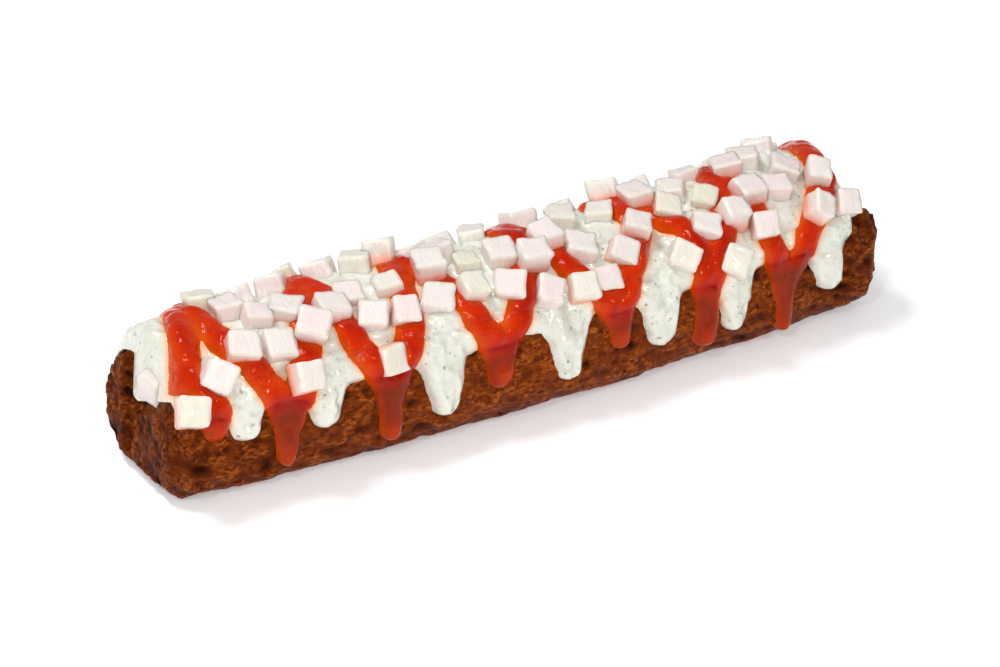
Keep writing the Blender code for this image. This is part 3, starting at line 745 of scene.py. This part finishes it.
def ketchup_cover(x, arc, onions):
    """Thickness of the ketchup: level, swollen at the tips of the drips and where it clings to onion."""
    swell = KETCHUP_TIP_SWELL * drip_tips(x, arc)
    waves = KETCHUP_WAVE_HEIGHT * rolled_noise(x, arc, KETCHUP_WAVES, 41)
    ripples = KETCHUP_RIPPLE_HEIGHT * rolled_noise(x, arc, KETCHUP_RIPPLES, 42)
    cling = KETCHUP_CLING * near_onion(x, arc, onions) - KETCHUP_DENT * under_onion(x, arc, onions)
    mayo_depth = mayo_edge(x, arc)
    gathered = np.exp(np.minimum(mayo_depth, 0) / KETCHUP_FILLET_REACH) * (1 - film(mayo_depth))
    thickness = KETCHUP_FILM + swell + waves + ripples + cling + KETCHUP_FILLET * gathered
    return thickness * film(ketchup_edge(x, arc))


def snapped_grid(x_range, arc_range, step, inside_at):
    """A grid of (x, arc) with the cells inside an outline, its border moved onto the outline."""
    x = np.arange(x_range[0], x_range[1], step)
    arc = np.arange(arc_range[0], arc_range[1], step)
    x, arc = np.meshgrid(x, arc, indexing="ij")
    inside = inside_at(x, arc)
    middle = (inside[:-1, :-1] + inside[1:, :-1] + inside[:-1, 1:] + inside[1:, 1:]) / 4
    keep = middle > 0
    crossed = ((keep[:-1, :-1] == keep[1:, 1:]) & (keep[1:, :-1] == keep[:-1, 1:])
               & (keep[:-1, :-1] != keep[1:, :-1]))
    for i, j in ((0, 0), (0, 1), (1, 0), (1, 1)):
        keep[i:keep.shape[0] - 1 + i, j:keep.shape[1] - 1 + j] |= crossed
    padded = np.pad(keep, 1)
    around = padded[:-1, :-1].astype(int) + padded[1:, :-1] + padded[:-1, 1:] + padded[1:, 1:]
    border = (around > 0) & (around < 4)
    probe = 0.05 * MM
    slope_x = (inside_at(x + probe, arc) - inside) / probe
    slope_arc = (inside_at(x, arc + probe) - inside) / probe
    steep = np.maximum(slope_x ** 2 + slope_arc ** 2, 0.25)
    shift = np.where(border, inside, 0) / steep
    return x - shift * slope_x, arc - shift * slope_arc, keep


def sauce_grid(step, inside_at):
    """The grid over all that the sauces may cover, fitted to one sauce's outline."""
    arc_range = (arc_at_height(2 * MM, False), arc_at_height(2 * MM, True))
    return snapped_grid((MAYO_START - MM, MAYO_STOP + MM), arc_range, step, inside_at)


def used_corners(keep):
    """The grid's points that a kept cell uses."""
    padded = np.pad(keep, 1)
    return padded[:-1, :-1] | padded[1:, :-1] | padded[:-1, 1:] | padded[1:, 1:]


def closed_sheet(upper, lower, keep):
    """Points and quads of a body between two grids, over the kept cells, with a wall round its edge."""
    padded = np.pad(keep, 1)
    used = used_corners(keep)
    above = np.cumsum(used).reshape(used.shape) - 1
    below = above + used.sum()
    i, j = np.nonzero(keep)
    corners = [(i, j), (i, j + 1), (i + 1, j + 1), (i + 1, j)]
    top = np.stack([above[corner] for corner in corners], -1)
    bottom = np.stack([below[corner] for corner in corners[::-1]], -1)
    walls = []
    for side, (di, dj) in enumerate(((-1, 0), (0, 1), (1, 0), (0, -1))):
        open_side = ~padded[i + 1 + di, j + 1 + dj]
        start = tuple(c[open_side] for c in corners[side])
        stop = tuple(c[open_side] for c in corners[(side + 1) % 4])
        walls.append(np.stack((above[stop], above[start], below[start], below[stop]), -1))
    return np.concatenate((upper[used], lower[used])), np.concatenate([top, bottom] + walls)


# The onion

class Onion:
    """One piece of onion: where it lies, how big it is, and how it is turned."""

    def __init__(self, number, x, arc, size):
        draw = np.random.default_rng(ONION_SEED + 1 + number)
        self.x = x * MM
        self.arc = arc * MM
        self.size = size * MM
        tilt = draw.uniform(-ONION_TILT, ONION_TILT, 2)
        spin = draw.uniform(*ONION_SPIN)
        self.height = self.size * draw.uniform(*ONION_FLATNESS)
        self.corners = draw.uniform(-ONION_CORNER, ONION_CORNER, (8, 3))
        angle = angle_of(self.arc)
        self.on_ketchup = ketchup_inside(self.x, self.arc) > ON_KETCHUP
        radius = max(ketchup_radius(self.x, angle), mayo_radius(self.x, angle),
                     craggy_skin_radius(self.x, angle))
        self.place = round_axis(self.x, angle, radius + self.height / 2 - ONION_SINK)
        outwards = Vector((0, math.cos(angle), math.sin(angle)))
        turn = outwards.to_track_quat("Z", "X").to_matrix() @ Euler((tilt[0], tilt[1], spin)).to_matrix()
        self.turn = np.array(turn)


def end_onion():
    """The piece that is sunk in the left end of the mayonnaise, with one face out, put at a given place."""
    onion = Onion(0, END_ONION_PLACE[0], 0, END_ONION_SIZE)
    x, y, z = (axis * MM for axis in END_ONION_PLACE)
    onion.place = np.array((x, y + bow(x), z))
    onion.height = onion.size
    onion.corners = np.random.default_rng(ONION_SEED).uniform(-ONION_CORNER, ONION_CORNER, (8, 3))
    onion.on_ketchup = False
    onion.turn = np.array(Euler(END_ONION_TURN).to_matrix())
    return onion


def onion_places():
    """Where the pieces of onion lie, as (x, arc, size), the largest first and none inside another."""
    draw = np.random.default_rng(ONION_SEED)
    places = []
    for arc, row in ONION_ROWS:
        for x in row:
            shift = draw.uniform(-ONION_ARC_JITTER, ONION_ARC_JITTER)
            places.append((x, arc + shift, draw.uniform(*ONION_SIZE)))
    for arc in FAR_ONION_ARCS:
        for x in np.arange(FAR_ONION_START, FAR_ONION_STOP, FAR_ONION_STEP):
            shift_x, shift_arc = [draw.uniform(-jitter, jitter) for jitter in FAR_ONION_JITTER]
            places.append((x + shift_x, arc + shift_arc, draw.uniform(*ONION_SIZE)))
    places.sort(key=lambda place: -place[2])
    kept = []
    for x, arc, size in places:
        on_sauce = mayo_inside(x * MM, arc * MM) > ONION_MARGIN
        clear = all(math.hypot(x - other[0], arc - other[1]) > ONION_SPACING * (size + other[2])
                    for other in kept)
        if on_sauce and clear:
            kept.append((x, arc, size))
    return kept


def rounded_cube(cells, power):
    """A cube from minus to plus a half with rounded edges: a superellipsoid of a high power."""
    line = np.sin(np.linspace(-math.pi / 2, math.pi / 2, cells + 1))
    u, v = [grid.ravel() for grid in np.meshgrid(line, line, indexing="ij")]
    quads = grid_faces(cells + 1, cells + 1)
    points = []
    faces = []
    for axis in range(3):
        for side in (-1, 1):
            face = np.empty((len(u), 3))
            face[:, axis] = side
            face[:, (axis + 1) % 3] = u
            face[:, (axis + 2) % 3] = v
            faces.append((quads if side > 0 else quads[:, ::-1]) + len(points) * len(u))
            points.append(face)
    points = np.concatenate(points)
    merged, number = np.unique(np.round(points, 6), axis=0, return_inverse=True)
    size = (np.abs(merged) ** power).sum(axis=1) ** (1 / power)
    dish = np.prod(1 - np.minimum(np.abs(merged), 1) ** 4 * (np.abs(merged) < 0.999), axis=1)
    points = merged / size[:, None] * (0.5 - ONION_DISH * dish[:, None])
    return points, number.ravel()[np.concatenate(faces)], dish


def corner_shares(points):
    """Share of each of a cube's eight corners in a point: the product of the nearness on three axes."""
    shares = []
    for a in (-1, 1):
        for b in (-1, 1):
            for c in (-1, 1):
                shares.append(np.prod(0.5 + points * (a, b, c), axis=1))
    return np.stack(shares, -1)


def build_onion(onions):
    """All pieces as one array: a rounded cube bent by its eight corners, scaled, turned and placed."""
    cube, quads, dish = rounded_cube(ONION_CELLS, ONION_SQUARENESS)
    shares = corner_shares(cube)
    points = []
    tint = []
    stain = []
    draw = np.random.default_rng(ONION_SEED + 500)
    for onion in onions:
        local = (cube + shares @ onion.corners) * (onion.size, onion.size, onion.height)
        layers = noise_at(local + onion.place, ONION_LAYER_SIZE, 51, (1, 5, 5)) * ONION_LAYER_HEIGHT
        uneven = noise_at(local + 3 * onion.place, ONION_UNEVEN_SIZE, 52) * ONION_UNEVEN_HEIGHT
        local = local * (1 + (layers + uneven) / onion.size * 2)[:, None]
        points.append(local @ onion.turn.T + onion.place)
        tint.append(np.full(len(cube), draw.uniform(0, 1)))
        above_wet = np.maximum(local[:, 2] + onion.height / 2 - ONION_WET_HEIGHT, 0)
        wet = np.exp(-above_wet / ONION_WET_FADE)
        stain.append(wet * onion.on_ketchup)
    faces = quads[None] + np.arange(len(onions))[:, None, None] * len(cube)
    marks = {"tint": np.concatenate(tint), "stain": np.concatenate(stain), "core": np.tile(dish, len(onions))}
    return np.concatenate(points), faces.reshape(-1, 4), marks


# The herbs

def surface_frame(x, arc, onions):
    """Points on the mayonnaise with two directions along it and the one outwards."""
    probe = 0.2 * MM
    place = mayo_points(x, arc, onions)
    along = mayo_points(x + probe, arc, onions) - place
    round_it = mayo_points(x, arc + probe, onions) - place
    outwards = np.cross(round_it, along)
    along /= np.linalg.norm(along, axis=-1, keepdims=True)
    outwards /= np.linalg.norm(outwards, axis=-1, keepdims=True)
    return place, along, np.cross(outwards, along), outwards


def flake_places(draw, count, onions):
    """Random places on the bare mayonnaise, clear of ketchup and onion."""
    tries = FLAKE_TRIES * count
    x = draw.uniform(MAYO_START, MAYO_STOP, tries)
    arc = draw.uniform(arc_at_height(6 * MM, False), arc_at_height(6 * MM, True), tries)
    bare = (mayo_inside(x, arc) > FLAKE_MARGIN) & (ketchup_inside(x, arc) < -FLAKE_KETCHUP_GAP)
    for onion in onions:
        bare &= np.hypot(x - onion.x, arc - onion.arc) > onion.size * 0.6
    return x[bare][:count], arc[bare][:count]


def build_flakes(settings, onions):
    """Thin six-sided plates lying on the mayonnaise, each with its own outline and tilt."""
    draw = np.random.default_rng(FLAKE_SEED)
    x, arc = flake_places(draw, settings.flakes, onions)
    place, along, across, outwards = surface_frame(x, arc, onions)
    count = len(x)
    size = draw.uniform(*FLAKE_REACH, count) * MM * settings.flake_size
    turn = draw.uniform(0, 2 * math.pi, (count, 1)) + np.arange(6) * math.pi / 3
    oval = 1 + FLAKE_LENGTHENING * np.cos(np.arange(6) * math.pi / 3) ** 2
    reach = size[:, None] * draw.uniform(*FLAKE_UNEVEN, (count, 6)) * oval
    tilt = draw.uniform(-FLAKE_TILT, FLAKE_TILT, (count, 2))
    u = reach * np.cos(turn)
    v = reach * np.sin(turn)
    lift = u * tilt[:, :1] + v * tilt[:, 1:]
    flat = (place[:, None] + along[:, None] * u[..., None] + across[:, None] * v[..., None]
            + outwards[:, None] * (lift + FLAKE_LIFT)[..., None])
    thick = outwards[:, None] * FLAKE_HALF_THICKNESS
    points = np.concatenate((flat + thick, flat - thick), axis=1)
    fan = [(0, i, i + 1) for i in range(1, 5)]
    back = [(6, 7 + i, 6 + i) for i in range(1, 5)]
    side = [((i + 1) % 6, i, 6 + i) for i in range(6)]
    side += [((i + 1) % 6, 6 + i, 6 + (i + 1) % 6) for i in range(6)]
    faces = np.array(fan + back + side)[None] + np.arange(count)[:, None, None] * 12
    return points.reshape(-1, 3), faces.reshape(-1, 3), np.repeat(draw.uniform(0, 1, count), 12)


# Materials

def new_material(name):
    """A material with its node tree and its surface shader."""
    finish = bpy.data.materials.new(name)
    finish.use_nodes = True
    return finish, finish.node_tree, finish.node_tree.nodes["Principled BSDF"]


def add_node(tree, kind, inputs=None, **options):
    """A node with its options and its inputs, each a value or another node's output."""
    node = tree.nodes.new(kind)
    for name, value in options.items():
        setattr(node, name, value)
    for name, value in (inputs or {}).items():
        if isinstance(value, bpy.types.NodeSocket):
            tree.links.new(value, node.inputs[name])
        else:
            node.inputs[name].default_value = value
    return node


def spots(tree, size, detail=3.0, roughness=0.55, stretch=(1, 1, 1)):
    """Noise in the piece's own coordinates, with lumps of a size."""
    place = add_node(tree, "ShaderNodeTexCoord").outputs["Object"]
    if stretch != (1, 1, 1):
        place = add_node(tree, "ShaderNodeMapping",
                         {"Vector": place, "Scale": [1 / side for side in stretch]}).outputs["Vector"]
    noise = add_node(tree, "ShaderNodeTexNoise",
                     {"Vector": place, "Scale": 1 / size, "Detail": detail, "Roughness": roughness})
    return noise.outputs["Fac"]


def held(tree, value, low, high, new_low=0.0, new_high=1.0):
    """A value stretched from one range to another and held within it."""
    return add_node(tree, "ShaderNodeMapRange", {
        "Value": value, "From Min": low, "From Max": high, "To Min": new_low, "To Max": new_high,
    }).outputs["Result"]


def joined_values(tree, operation, first, second):
    """Two values put together by one sum."""
    node = add_node(tree, "ShaderNodeMath", {0: first, 1: second}, operation=operation)
    return node.outputs["Value"]


def mixed(tree, share, first, second):
    """A colour between two, by a share from nought to one."""
    node = add_node(tree, "ShaderNodeMix", data_type="RGBA")
    for number, value in ((0, share), (6, first), (7, second)):
        if isinstance(value, bpy.types.NodeSocket):
            tree.links.new(value, node.inputs[number])
        else:
            node.inputs[number].default_value = value if number == 0 else (*value, 1)
    return node.outputs[2]


def attribute_value(tree, name):
    """The number that a piece's mesh carries under a name."""
    return add_node(tree, "ShaderNodeAttribute", attribute_name=name).outputs["Fac"]


def bumped(tree, shader, height, distance):
    """Fine relief from a height, on top of the mesh."""
    bump = add_node(tree, "ShaderNodeBump", {"Height": height, "Distance": distance})
    tree.links.new(bump.outputs["Normal"], shader.inputs["Normal"])


def set_shader(shader, values):
    """The shader's own settings, by socket name."""
    for name, value in values.items():
        shader.inputs[name].default_value = value


def crust_material(settings):
    """Fried skin: mottled red-brown, with painted shade in its pits and a painted highlight on its ridges, and
    an oily gloss.
    """
    finish, tree, shader = new_material("browned_crust")
    relief = attribute_value(tree, "relief")
    mottle = held(tree, spots(tree, 3 * MM, 4, 0.6, (2.4, 1, 1)), 0.32, 0.62)
    colour = mixed(tree, mottle, settings.dark, settings.middle)
    # Painted highlight: the relief's ridges, where the blister noise is high, are mixed towards the pale ridge
    # colour.
    ridge_highlight = held(tree, relief, -0.15, 0.4)
    blister = spots(tree, 0.9 * MM, 5, 0.65, (1.7, 1, 1))
    light = joined_values(tree, "MULTIPLY", ridge_highlight, held(tree, blister, 0.46, 0.62))
    colour = mixed(tree, light, colour, settings.pale)
    # Painted shade: the relief's hollows and the places where the blister noise is low are mixed towards the
    # pit colour.
    pit_shade = joined_values(tree, "MAXIMUM", held(tree, relief, -0.1, -0.55), held(tree, blister, 0.43, 0.32))
    colour = mixed(tree, pit_shade, colour, settings.pit_shade)
    place = add_node(tree, "ShaderNodeTexCoord").outputs["Object"]
    along = add_node(tree, "ShaderNodeSeparateXYZ", {"Vector": place}).outputs["X"]
    ends = held(tree, joined_values(tree, "ABSOLUTE", along, 0.0), 60 * MM, 85 * MM, 0.7, 1.4)
    tree.links.new(colour, shader.inputs["Base Color"])
    tree.links.new(held(tree, spots(tree, 2.2 * MM), 0.35, 0.65, 0.28, 0.5), shader.inputs["Roughness"])
    set_shader(shader, {"Specular IOR Level": 0.05})
    bumped(tree, shader, joined_values(tree, "MULTIPLY", blister, ends), 1.5 * MM)
    return finish


def mayonnaise_material(settings):
    """Glossy off-white sauce, faintly green, with blurred herb spots under its surface and fine specks."""
    finish, tree, shader = new_material("herb_mayonnaise_sauce")
    cloud = held(tree, spots(tree, 4 * MM, 3), 0.42, 0.72)
    colour = mixed(tree, cloud, settings.pale, settings.greenish)
    sunk_herbs = held(tree, spots(tree, 1.5 * MM, 2, 0.5), 0.60, 0.74, 0.0, 0.5)
    colour = mixed(tree, sunk_herbs, colour, settings.sunk_herb)
    specks = held(tree, spots(tree, 0.5 * MM, 1, 0.4), 0.735, 0.77, 0.0, 0.6)
    colour = mixed(tree, specks, colour, settings.speck)
    colour = mixed(tree, attribute_value(tree, "stain"), colour, settings.stain)
    tree.links.new(colour, shader.inputs["Base Color"])
    set_shader(shader, {"Roughness": 0.18, "Subsurface Weight": 0.2, "Subsurface Scale": 0.9 * MM,
                        "Subsurface Radius": (1.0, 0.9, 0.7), "Specular IOR Level": 0.5,
                        "Coat Weight": 0.2, "Coat Roughness": 0.08})
    bumped(tree, shader, spots(tree, 2.2 * MM, 2, 0.4), 0.5 * MM)
    return finish


def ketchup_material(settings):
    """Wet red sauce: orange where it is thin, deep red where it is thick, with a fine pulp."""
    finish, tree, shader = new_material("ketchup_sauce")
    thickness = attribute_value(tree, "thickness")
    colour = mixed(tree, held(tree, thickness, 0.15, 0.95), settings.thin, settings.middle)
    colour = mixed(tree, held(tree, thickness, 0.95, 1.4), colour, settings.thick)
    pulp = held(tree, spots(tree, 1.2 * MM, 3, 0.6), 0.5, 0.8, 0.0, 0.35)
    colour = mixed(tree, pulp, colour, settings.thick)
    colour = mixed(tree, attribute_value(tree, "over_skin"), colour, settings.over_skin)
    tree.links.new(colour, shader.inputs["Base Color"])
    set_shader(shader, {"Roughness": 0.08, "Specular IOR Level": 0.11})
    bumped(tree, shader, spots(tree, 2.2 * MM, 2, 0.4), 0.45 * MM)
    return finish


def onion_material(settings):
    """Translucent raw onion: faintly pink or green from piece to piece, pinker where ketchup wets it."""
    finish, tree, shader = new_material("raw_onion")
    tint = attribute_value(tree, "tint")
    colour = mixed(tree, held(tree, tint, 0.0, 0.6), settings.pinkish, settings.white)
    colour = mixed(tree, held(tree, tint, 0.75, 1.0), colour, settings.greenish)
    veins = held(tree, spots(tree, 1.0 * MM, 2, 0.5, (1, 4, 4)), 0.5, 0.7, 0.0, 0.6)
    colour = mixed(tree, veins, colour, settings.vein)
    rim = held(tree, attribute_value(tree, "core"), 0.75, 0.1, 0.0, 0.7)
    colour = mixed(tree, rim, colour, settings.rim)
    stain = held(tree, attribute_value(tree, "stain"), 0.0, 1.0, 0.0, 0.85)
    colour = mixed(tree, stain, colour, settings.stain)
    tree.links.new(colour, shader.inputs["Base Color"])
    set_shader(shader, {"Roughness": 0.3, "Subsurface Weight": 0.7, "Subsurface Scale": 2.4 * MM,
                        "Subsurface Radius": (1.0, 0.85, 0.75), "Specular IOR Level": 0.35,
                        "Coat Weight": 0.15, "Coat Roughness": 0.1})
    bumped(tree, shader, spots(tree, 0.8 * MM, 3, 0.5, (1, 3, 3)), 0.3 * MM)
    return finish


def flake_material(settings):
    """Chopped herbs: dark green, paler on some flakes."""
    finish, tree, shader = new_material("chopped_herbs")
    colour = mixed(tree, attribute_value(tree, "tint"), settings.herb_dark, settings.herb_pale)
    tree.links.new(colour, shader.inputs["Base Color"])
    tree.links.new(held(tree, spots(tree, 0.4 * MM), 0.3, 0.7, 0.35, 0.6), shader.inputs["Roughness"])
    return finish


# Settings

def colour_setting(name, description, value):
    """A colour that a user may change."""
    return FloatVectorProperty(name=name, description=description, subtype="COLOR", size=3, min=0, max=1,
                               default=value)


class SausageSettings(bpy.types.PropertyGroup):
    relief: FloatProperty(name="Relief", description="How rough the fried skin is", default=1.0, min=0, max=2,
                          subtype="FACTOR")
    dark: colour_setting("Dark skin", "Darker patches of the skin", (0.12, 0.020, 0.002))
    middle: colour_setting("Skin", "Most of the skin", (0.20, 0.032, 0.002))
    # The ridge colour is a painted highlight, mixed in on the tops of the ridges.
    pale: colour_setting("Ridges", "Tops of the ridges", (0.52, 0.125, 0.014))
    # The pit colour is painted shade, mixed in at the bottoms of the pits and folds.
    pit_shade: colour_setting("Pits", "Bottoms of the pits and folds", (0.035, 0.006, 0.001))


class MayonnaiseSettings(bpy.types.PropertyGroup):
    pale: colour_setting("Sauce", "Most of the sauce", (0.76, 0.77, 0.69))
    greenish: colour_setting("Herb tint", "Sauce that the herbs have tinted", (0.67, 0.69, 0.58))
    sunk_herb: colour_setting("Sunk herbs", "Herbs seen through the sauce", (0.44, 0.50, 0.38))
    speck: colour_setting("Specks", "The finest herb specks", (0.25, 0.30, 0.20))
    stain: colour_setting("Stain", "Where ketchup has run into the sauce", (0.90, 0.42, 0.16))


class KetchupSettings(bpy.types.PropertyGroup):
    thin: colour_setting("Thin", "Thin edges of the ketchup", (0.66, 0.095, 0.002))
    middle: colour_setting("Ketchup", "Most of the ketchup", (0.54, 0.022, 0.0002))
    thick: colour_setting("Thick", "The thickest drops", (0.31, 0.004, 0.0002))
    over_skin: colour_setting("Over the skin", "Ketchup that the dark skin shows through",
                              (0.185, 0.017, 0.001))


class OnionSettings(bpy.types.PropertyGroup):
    white: colour_setting("Onion", "Most of the pieces", (0.81, 0.76, 0.72))
    pinkish: colour_setting("Pink pieces", "Pieces with a pink tinge", (0.80, 0.70, 0.68))
    greenish: colour_setting("Green pieces", "Pieces with a green tinge", (0.74, 0.74, 0.60))
    vein: colour_setting("Veins", "Lines along the layers", (0.86, 0.74, 0.71))
    rim: colour_setting("Edges", "Edges of the pieces, where they are clearer", (0.74, 0.69, 0.57))
    stain: colour_setting("Stain", "Where ketchup wets a piece", (0.88, 0.34, 0.22))


class HerbSettings(bpy.types.PropertyGroup):
    flakes: IntProperty(name="Flakes", description="How many herb flakes lie on the sauce",
                        default=160, min=0, max=2000)
    flake_size: FloatProperty(name="Flake size", description="Size of the flakes, as a multiple", default=1.0,
                              min=0.5, max=3, subtype="FACTOR")
    herb_dark: colour_setting("Dark herb", "The darkest flakes", (0.24, 0.29, 0.20))
    herb_pale: colour_setting("Pale herb", "The palest flakes", (0.50, 0.55, 0.43))


class StageSettings(bpy.types.PropertyGroup):
    azimuth: FloatProperty(name="Camera azimuth", description="Turn of the camera round the sausage",
                           default=math.radians(-30.95), subtype="ANGLE")
    elevation: FloatProperty(name="Camera elevation", description="Height of the camera above the horizon",
                             default=math.radians(28.13), subtype="ANGLE")
    distance: FloatProperty(name="Camera distance", description="From the camera to the sausage",
                            default=0.85, min=0.2, max=5, subtype="DISTANCE", unit="LENGTH")
    lens: FloatProperty(name="Lens", description="Focal length on a 36 mm sensor", default=132.81, min=20,
                        max=400, subtype="DISTANCE_CAMERA")
    floor: colour_setting("Floor", "Colour of the floor", (0.93, 0.93, 0.93))


SETTINGS = {
    "sausage": SausageSettings,
    "mayonnaise": MayonnaiseSettings,
    "ketchup": KetchupSettings,
    "onion": OnionSettings,
    "herbs": HerbSettings,
    "stage": StageSettings,
}


# Operators

def keep_piece(piece, slot, *nodes):
    """Ties a piece to the part's one body and hides the solids that it stands for."""
    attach(piece, "root")
    if nodes:
        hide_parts(*nodes)


def all_onions():
    """Every piece of onion, in the order in which it is laid."""
    return [Onion(number, *place) for number, place in enumerate(onion_places())]


class AddSausage(bpy.types.Operator):
    """Make the split sausage with its fried skin"""
    bl_idname = "frikandel.add_sausage"
    bl_label = "Sausage"

    def execute(self, context):
        settings = context.scene.frikandel_sausage
        points, faces, relief = build_sausage(settings)
        piece = add_piece("browned_sausage", points, faces, crust_material(settings))
        add_attribute(piece, "relief", relief)
        keep_piece(piece, "browned_meat", "frikandel")
        return {"FINISHED"}


class AddMayonnaise(bpy.types.Operator):
    """Make the herb mayonnaise in the split, with its drips"""
    bl_idname = "frikandel.add_mayonnaise"
    bl_label = "Herb mayonnaise"

    def execute(self, context):
        settings = context.scene.frikandel_mayonnaise
        onions = all_onions()
        x, arc, keep = sauce_grid(MAYO_STEP, mayo_edge)
        upper = lifted(mayo_points(x, arc, onions), arc, np.full(x.shape, RIM))
        points, faces = closed_sheet(upper, bed_points(x, arc), keep)
        stain = np.exp(np.minimum(ketchup_edge(x, arc), 0) / (0.45 * MM)) * 0.8
        piece = add_piece("mayonnaise_sauce", points, faces, mayonnaise_material(settings))
        add_attribute(piece, "stain", np.tile(stain[used_corners(keep)], 2))
        keep_piece(piece, "herb_mayonnaise", "herb_mayonnaise")
        return {"FINISHED"}


class AddKetchup(bpy.types.Operator):
    """Make the zigzag of ketchup with its drips"""
    bl_idname = "frikandel.add_ketchup"
    bl_label = "Ketchup"

    def execute(self, context):
        settings = context.scene.frikandel_ketchup
        onions = all_onions()
        x, arc, keep = sauce_grid(KETCHUP_STEP, ketchup_edge)
        support = mayo_points(x, arc, onions)
        cover = ketchup_cover(x, arc, onions)
        lower = lifted(support, arc, np.full(x.shape, -OVERLAP))
        share = film(ketchup_edge(x, arc))
        calmed = mayo_points(x, arc, onions, KETCHUP_CALM * share)
        upper = lifted(calmed, arc, RIM - OVERLAP + cover + OVERLAP * share)
        points, faces = closed_sheet(upper, lower, keep)
        piece = add_piece("ketchup_sauce", points, faces, ketchup_material(settings))
        used = used_corners(keep)
        tips = drip_tips(x, arc)
        past_mayo = np.clip(-mayo_inside(x, arc) / OVER_SKIN_REACH, 0, 1)
        over_skin = past_mayo * np.clip(cover / KETCHUP_FILM, 0, 1) * (1 - 0.6 * tips)
        add_attribute(piece, "thickness", np.tile((cover * (1 - 0.5 * tips))[used], 2) / KETCHUP_FILM)
        add_attribute(piece, "over_skin", np.tile(over_skin[used], 2) * 0.95)
        keep_piece(piece, "ketchup", "ketchup")
        return {"FINISHED"}


class AddOnion(bpy.types.Operator):
    """Strew the diced onion"""
    bl_idname = "frikandel.add_onion"
    bl_label = "Diced onion"

    def execute(self, context):
        points, faces, marks = build_onion(all_onions() + [end_onion()])
        piece = add_piece("onion_dice", points, faces, onion_material(context.scene.frikandel_onion))
        for name, values in marks.items():
            add_attribute(piece, name, values)
        keep_piece(piece, "onion", "herb_mayonnaise", "ketchup")
        return {"FINISHED"}


class AddHerbs(bpy.types.Operator):
    """Strew the herb flakes over the mayonnaise"""
    bl_idname = "frikandel.add_herbs"
    bl_label = "Herb flakes"

    def execute(self, context):
        settings = context.scene.frikandel_herbs
        points, faces, tint = build_flakes(settings, all_onions())
        piece = add_piece("herb_flakes", points, faces, flake_material(settings), smooth=False)
        add_attribute(piece, "tint", tint)
        keep_piece(piece, "herb_mayonnaise")
        return {"FINISHED"}


def add_area_light(name, place, target, size, power):
    """A rectangular soft light that faces a target."""
    light = bpy.data.lights.new(name, "AREA")
    light.shape = "RECTANGLE"
    light.size, light.size_y = size
    light.energy = power
    lamp = bpy.data.objects.new(name, light)
    lamp.location = place
    lamp.rotation_euler = (Vector(target) - Vector(place)).to_track_quat("-Z", "Y").to_euler()
    bpy.context.scene.collection.objects.link(lamp)


class AddStage(bpy.types.Operator):
    """Make the floor, the lights and the camera"""
    bl_idname = "frikandel.add_stage"
    bl_label = "Stage"

    def execute(self, context):
        settings = context.scene.frikandel_stage
        target = Vector(CAMERA_TARGET)
        back = Vector((math.sin(settings.azimuth) * math.cos(settings.elevation),
                       -math.cos(settings.azimuth) * math.cos(settings.elevation),
                       math.sin(settings.elevation)))
        view = bpy.data.cameras.new("camera")
        view.sensor_width = 36
        view.lens = settings.lens
        camera = bpy.data.objects.new("camera", view)
        camera.location = target + back * settings.distance
        camera.rotation_euler = (-back).to_track_quat("-Z", "Y").to_euler()
        context.scene.collection.objects.link(camera)
        context.scene.camera = camera

        finish, _, shader = new_material("plain_floor")
        set_shader(shader, {"Base Color": (*settings.floor, 1), "Roughness": 0.9, "Specular IOR Level": 0.0,
                            "Emission Color": (1, 1, 1, 1), "Emission Strength": FLOOR_GLOW})
        corners = np.array([(-1, -1, 0), (1, -1, 0), (1, 1, 0), (-1, 1, 0)]) * FLOOR_REACH
        floor = add_piece("floor", corners, np.array([[0, 1, 2, 3]]), finish, smooth=False)

        world = bpy.data.worlds.new("studio")
        world.use_nodes = True
        seen = add_node(world.node_tree, "ShaderNodeLightPath").outputs["Is Camera Ray"]
        strength = held(world.node_tree, seen, 0.0, 1.0, WORLD_LIGHT, 1.0)
        background = world.node_tree.nodes["Background"]
        background.inputs["Color"].default_value = (1, 1, 1, 1)
        world.node_tree.links.new(strength, background.inputs["Strength"])
        context.scene.world = world
        for name, place, size, power in LIGHTS:
            add_area_light(name, place, CAMERA_TARGET, size, power)
        context.scene.view_settings.view_transform = "Standard"
        return {"FINISHED"}


OPERATORS = (AddStage, AddSausage, AddMayonnaise, AddKetchup, AddOnion, AddHerbs)


class FrikandelPanel(bpy.types.Panel):
    """Buttons and settings for every piece"""
    bl_idname = "VIEW3D_PT_frikandel"
    bl_label = "Split frikandel"
    bl_space_type = "VIEW_3D"
    bl_region_type = "UI"
    bl_category = "Frikandel"

    def draw(self, context):
        column = self.layout.column()
        for operator in OPERATORS:
            column.operator(operator.bl_idname)
        for name, group in SETTINGS.items():
            column.label(text=name.capitalize())
            settings = getattr(context.scene, "frikandel_" + name)
            for setting in group.__annotations__:
                column.prop(settings, setting)


CLASSES = (*SETTINGS.values(), *OPERATORS, FrikandelPanel)


def register():
    """Makes the settings, the buttons and the panel known."""
    for entry in CLASSES:
        bpy.utils.register_class(entry)
    for name, group in SETTINGS.items():
        setattr(bpy.types.Scene, "frikandel_" + name, PointerProperty(type=group))


def unregister():
    """Takes them away again."""
    for name in SETTINGS:
        delattr(bpy.types.Scene, "frikandel_" + name)
    for entry in reversed(CLASSES):
        bpy.utils.unregister_class(entry)


def main():
    """Makes the whole scene."""
    register()
    bpy.ops.frikandel.add_stage()
    bpy.ops.frikandel.add_sausage()
    bpy.ops.frikandel.add_mayonnaise()
    bpy.ops.frikandel.add_ketchup()
    bpy.ops.frikandel.add_onion()
    bpy.ops.frikandel.add_herbs()


if __name__ == "__main__":
    main()
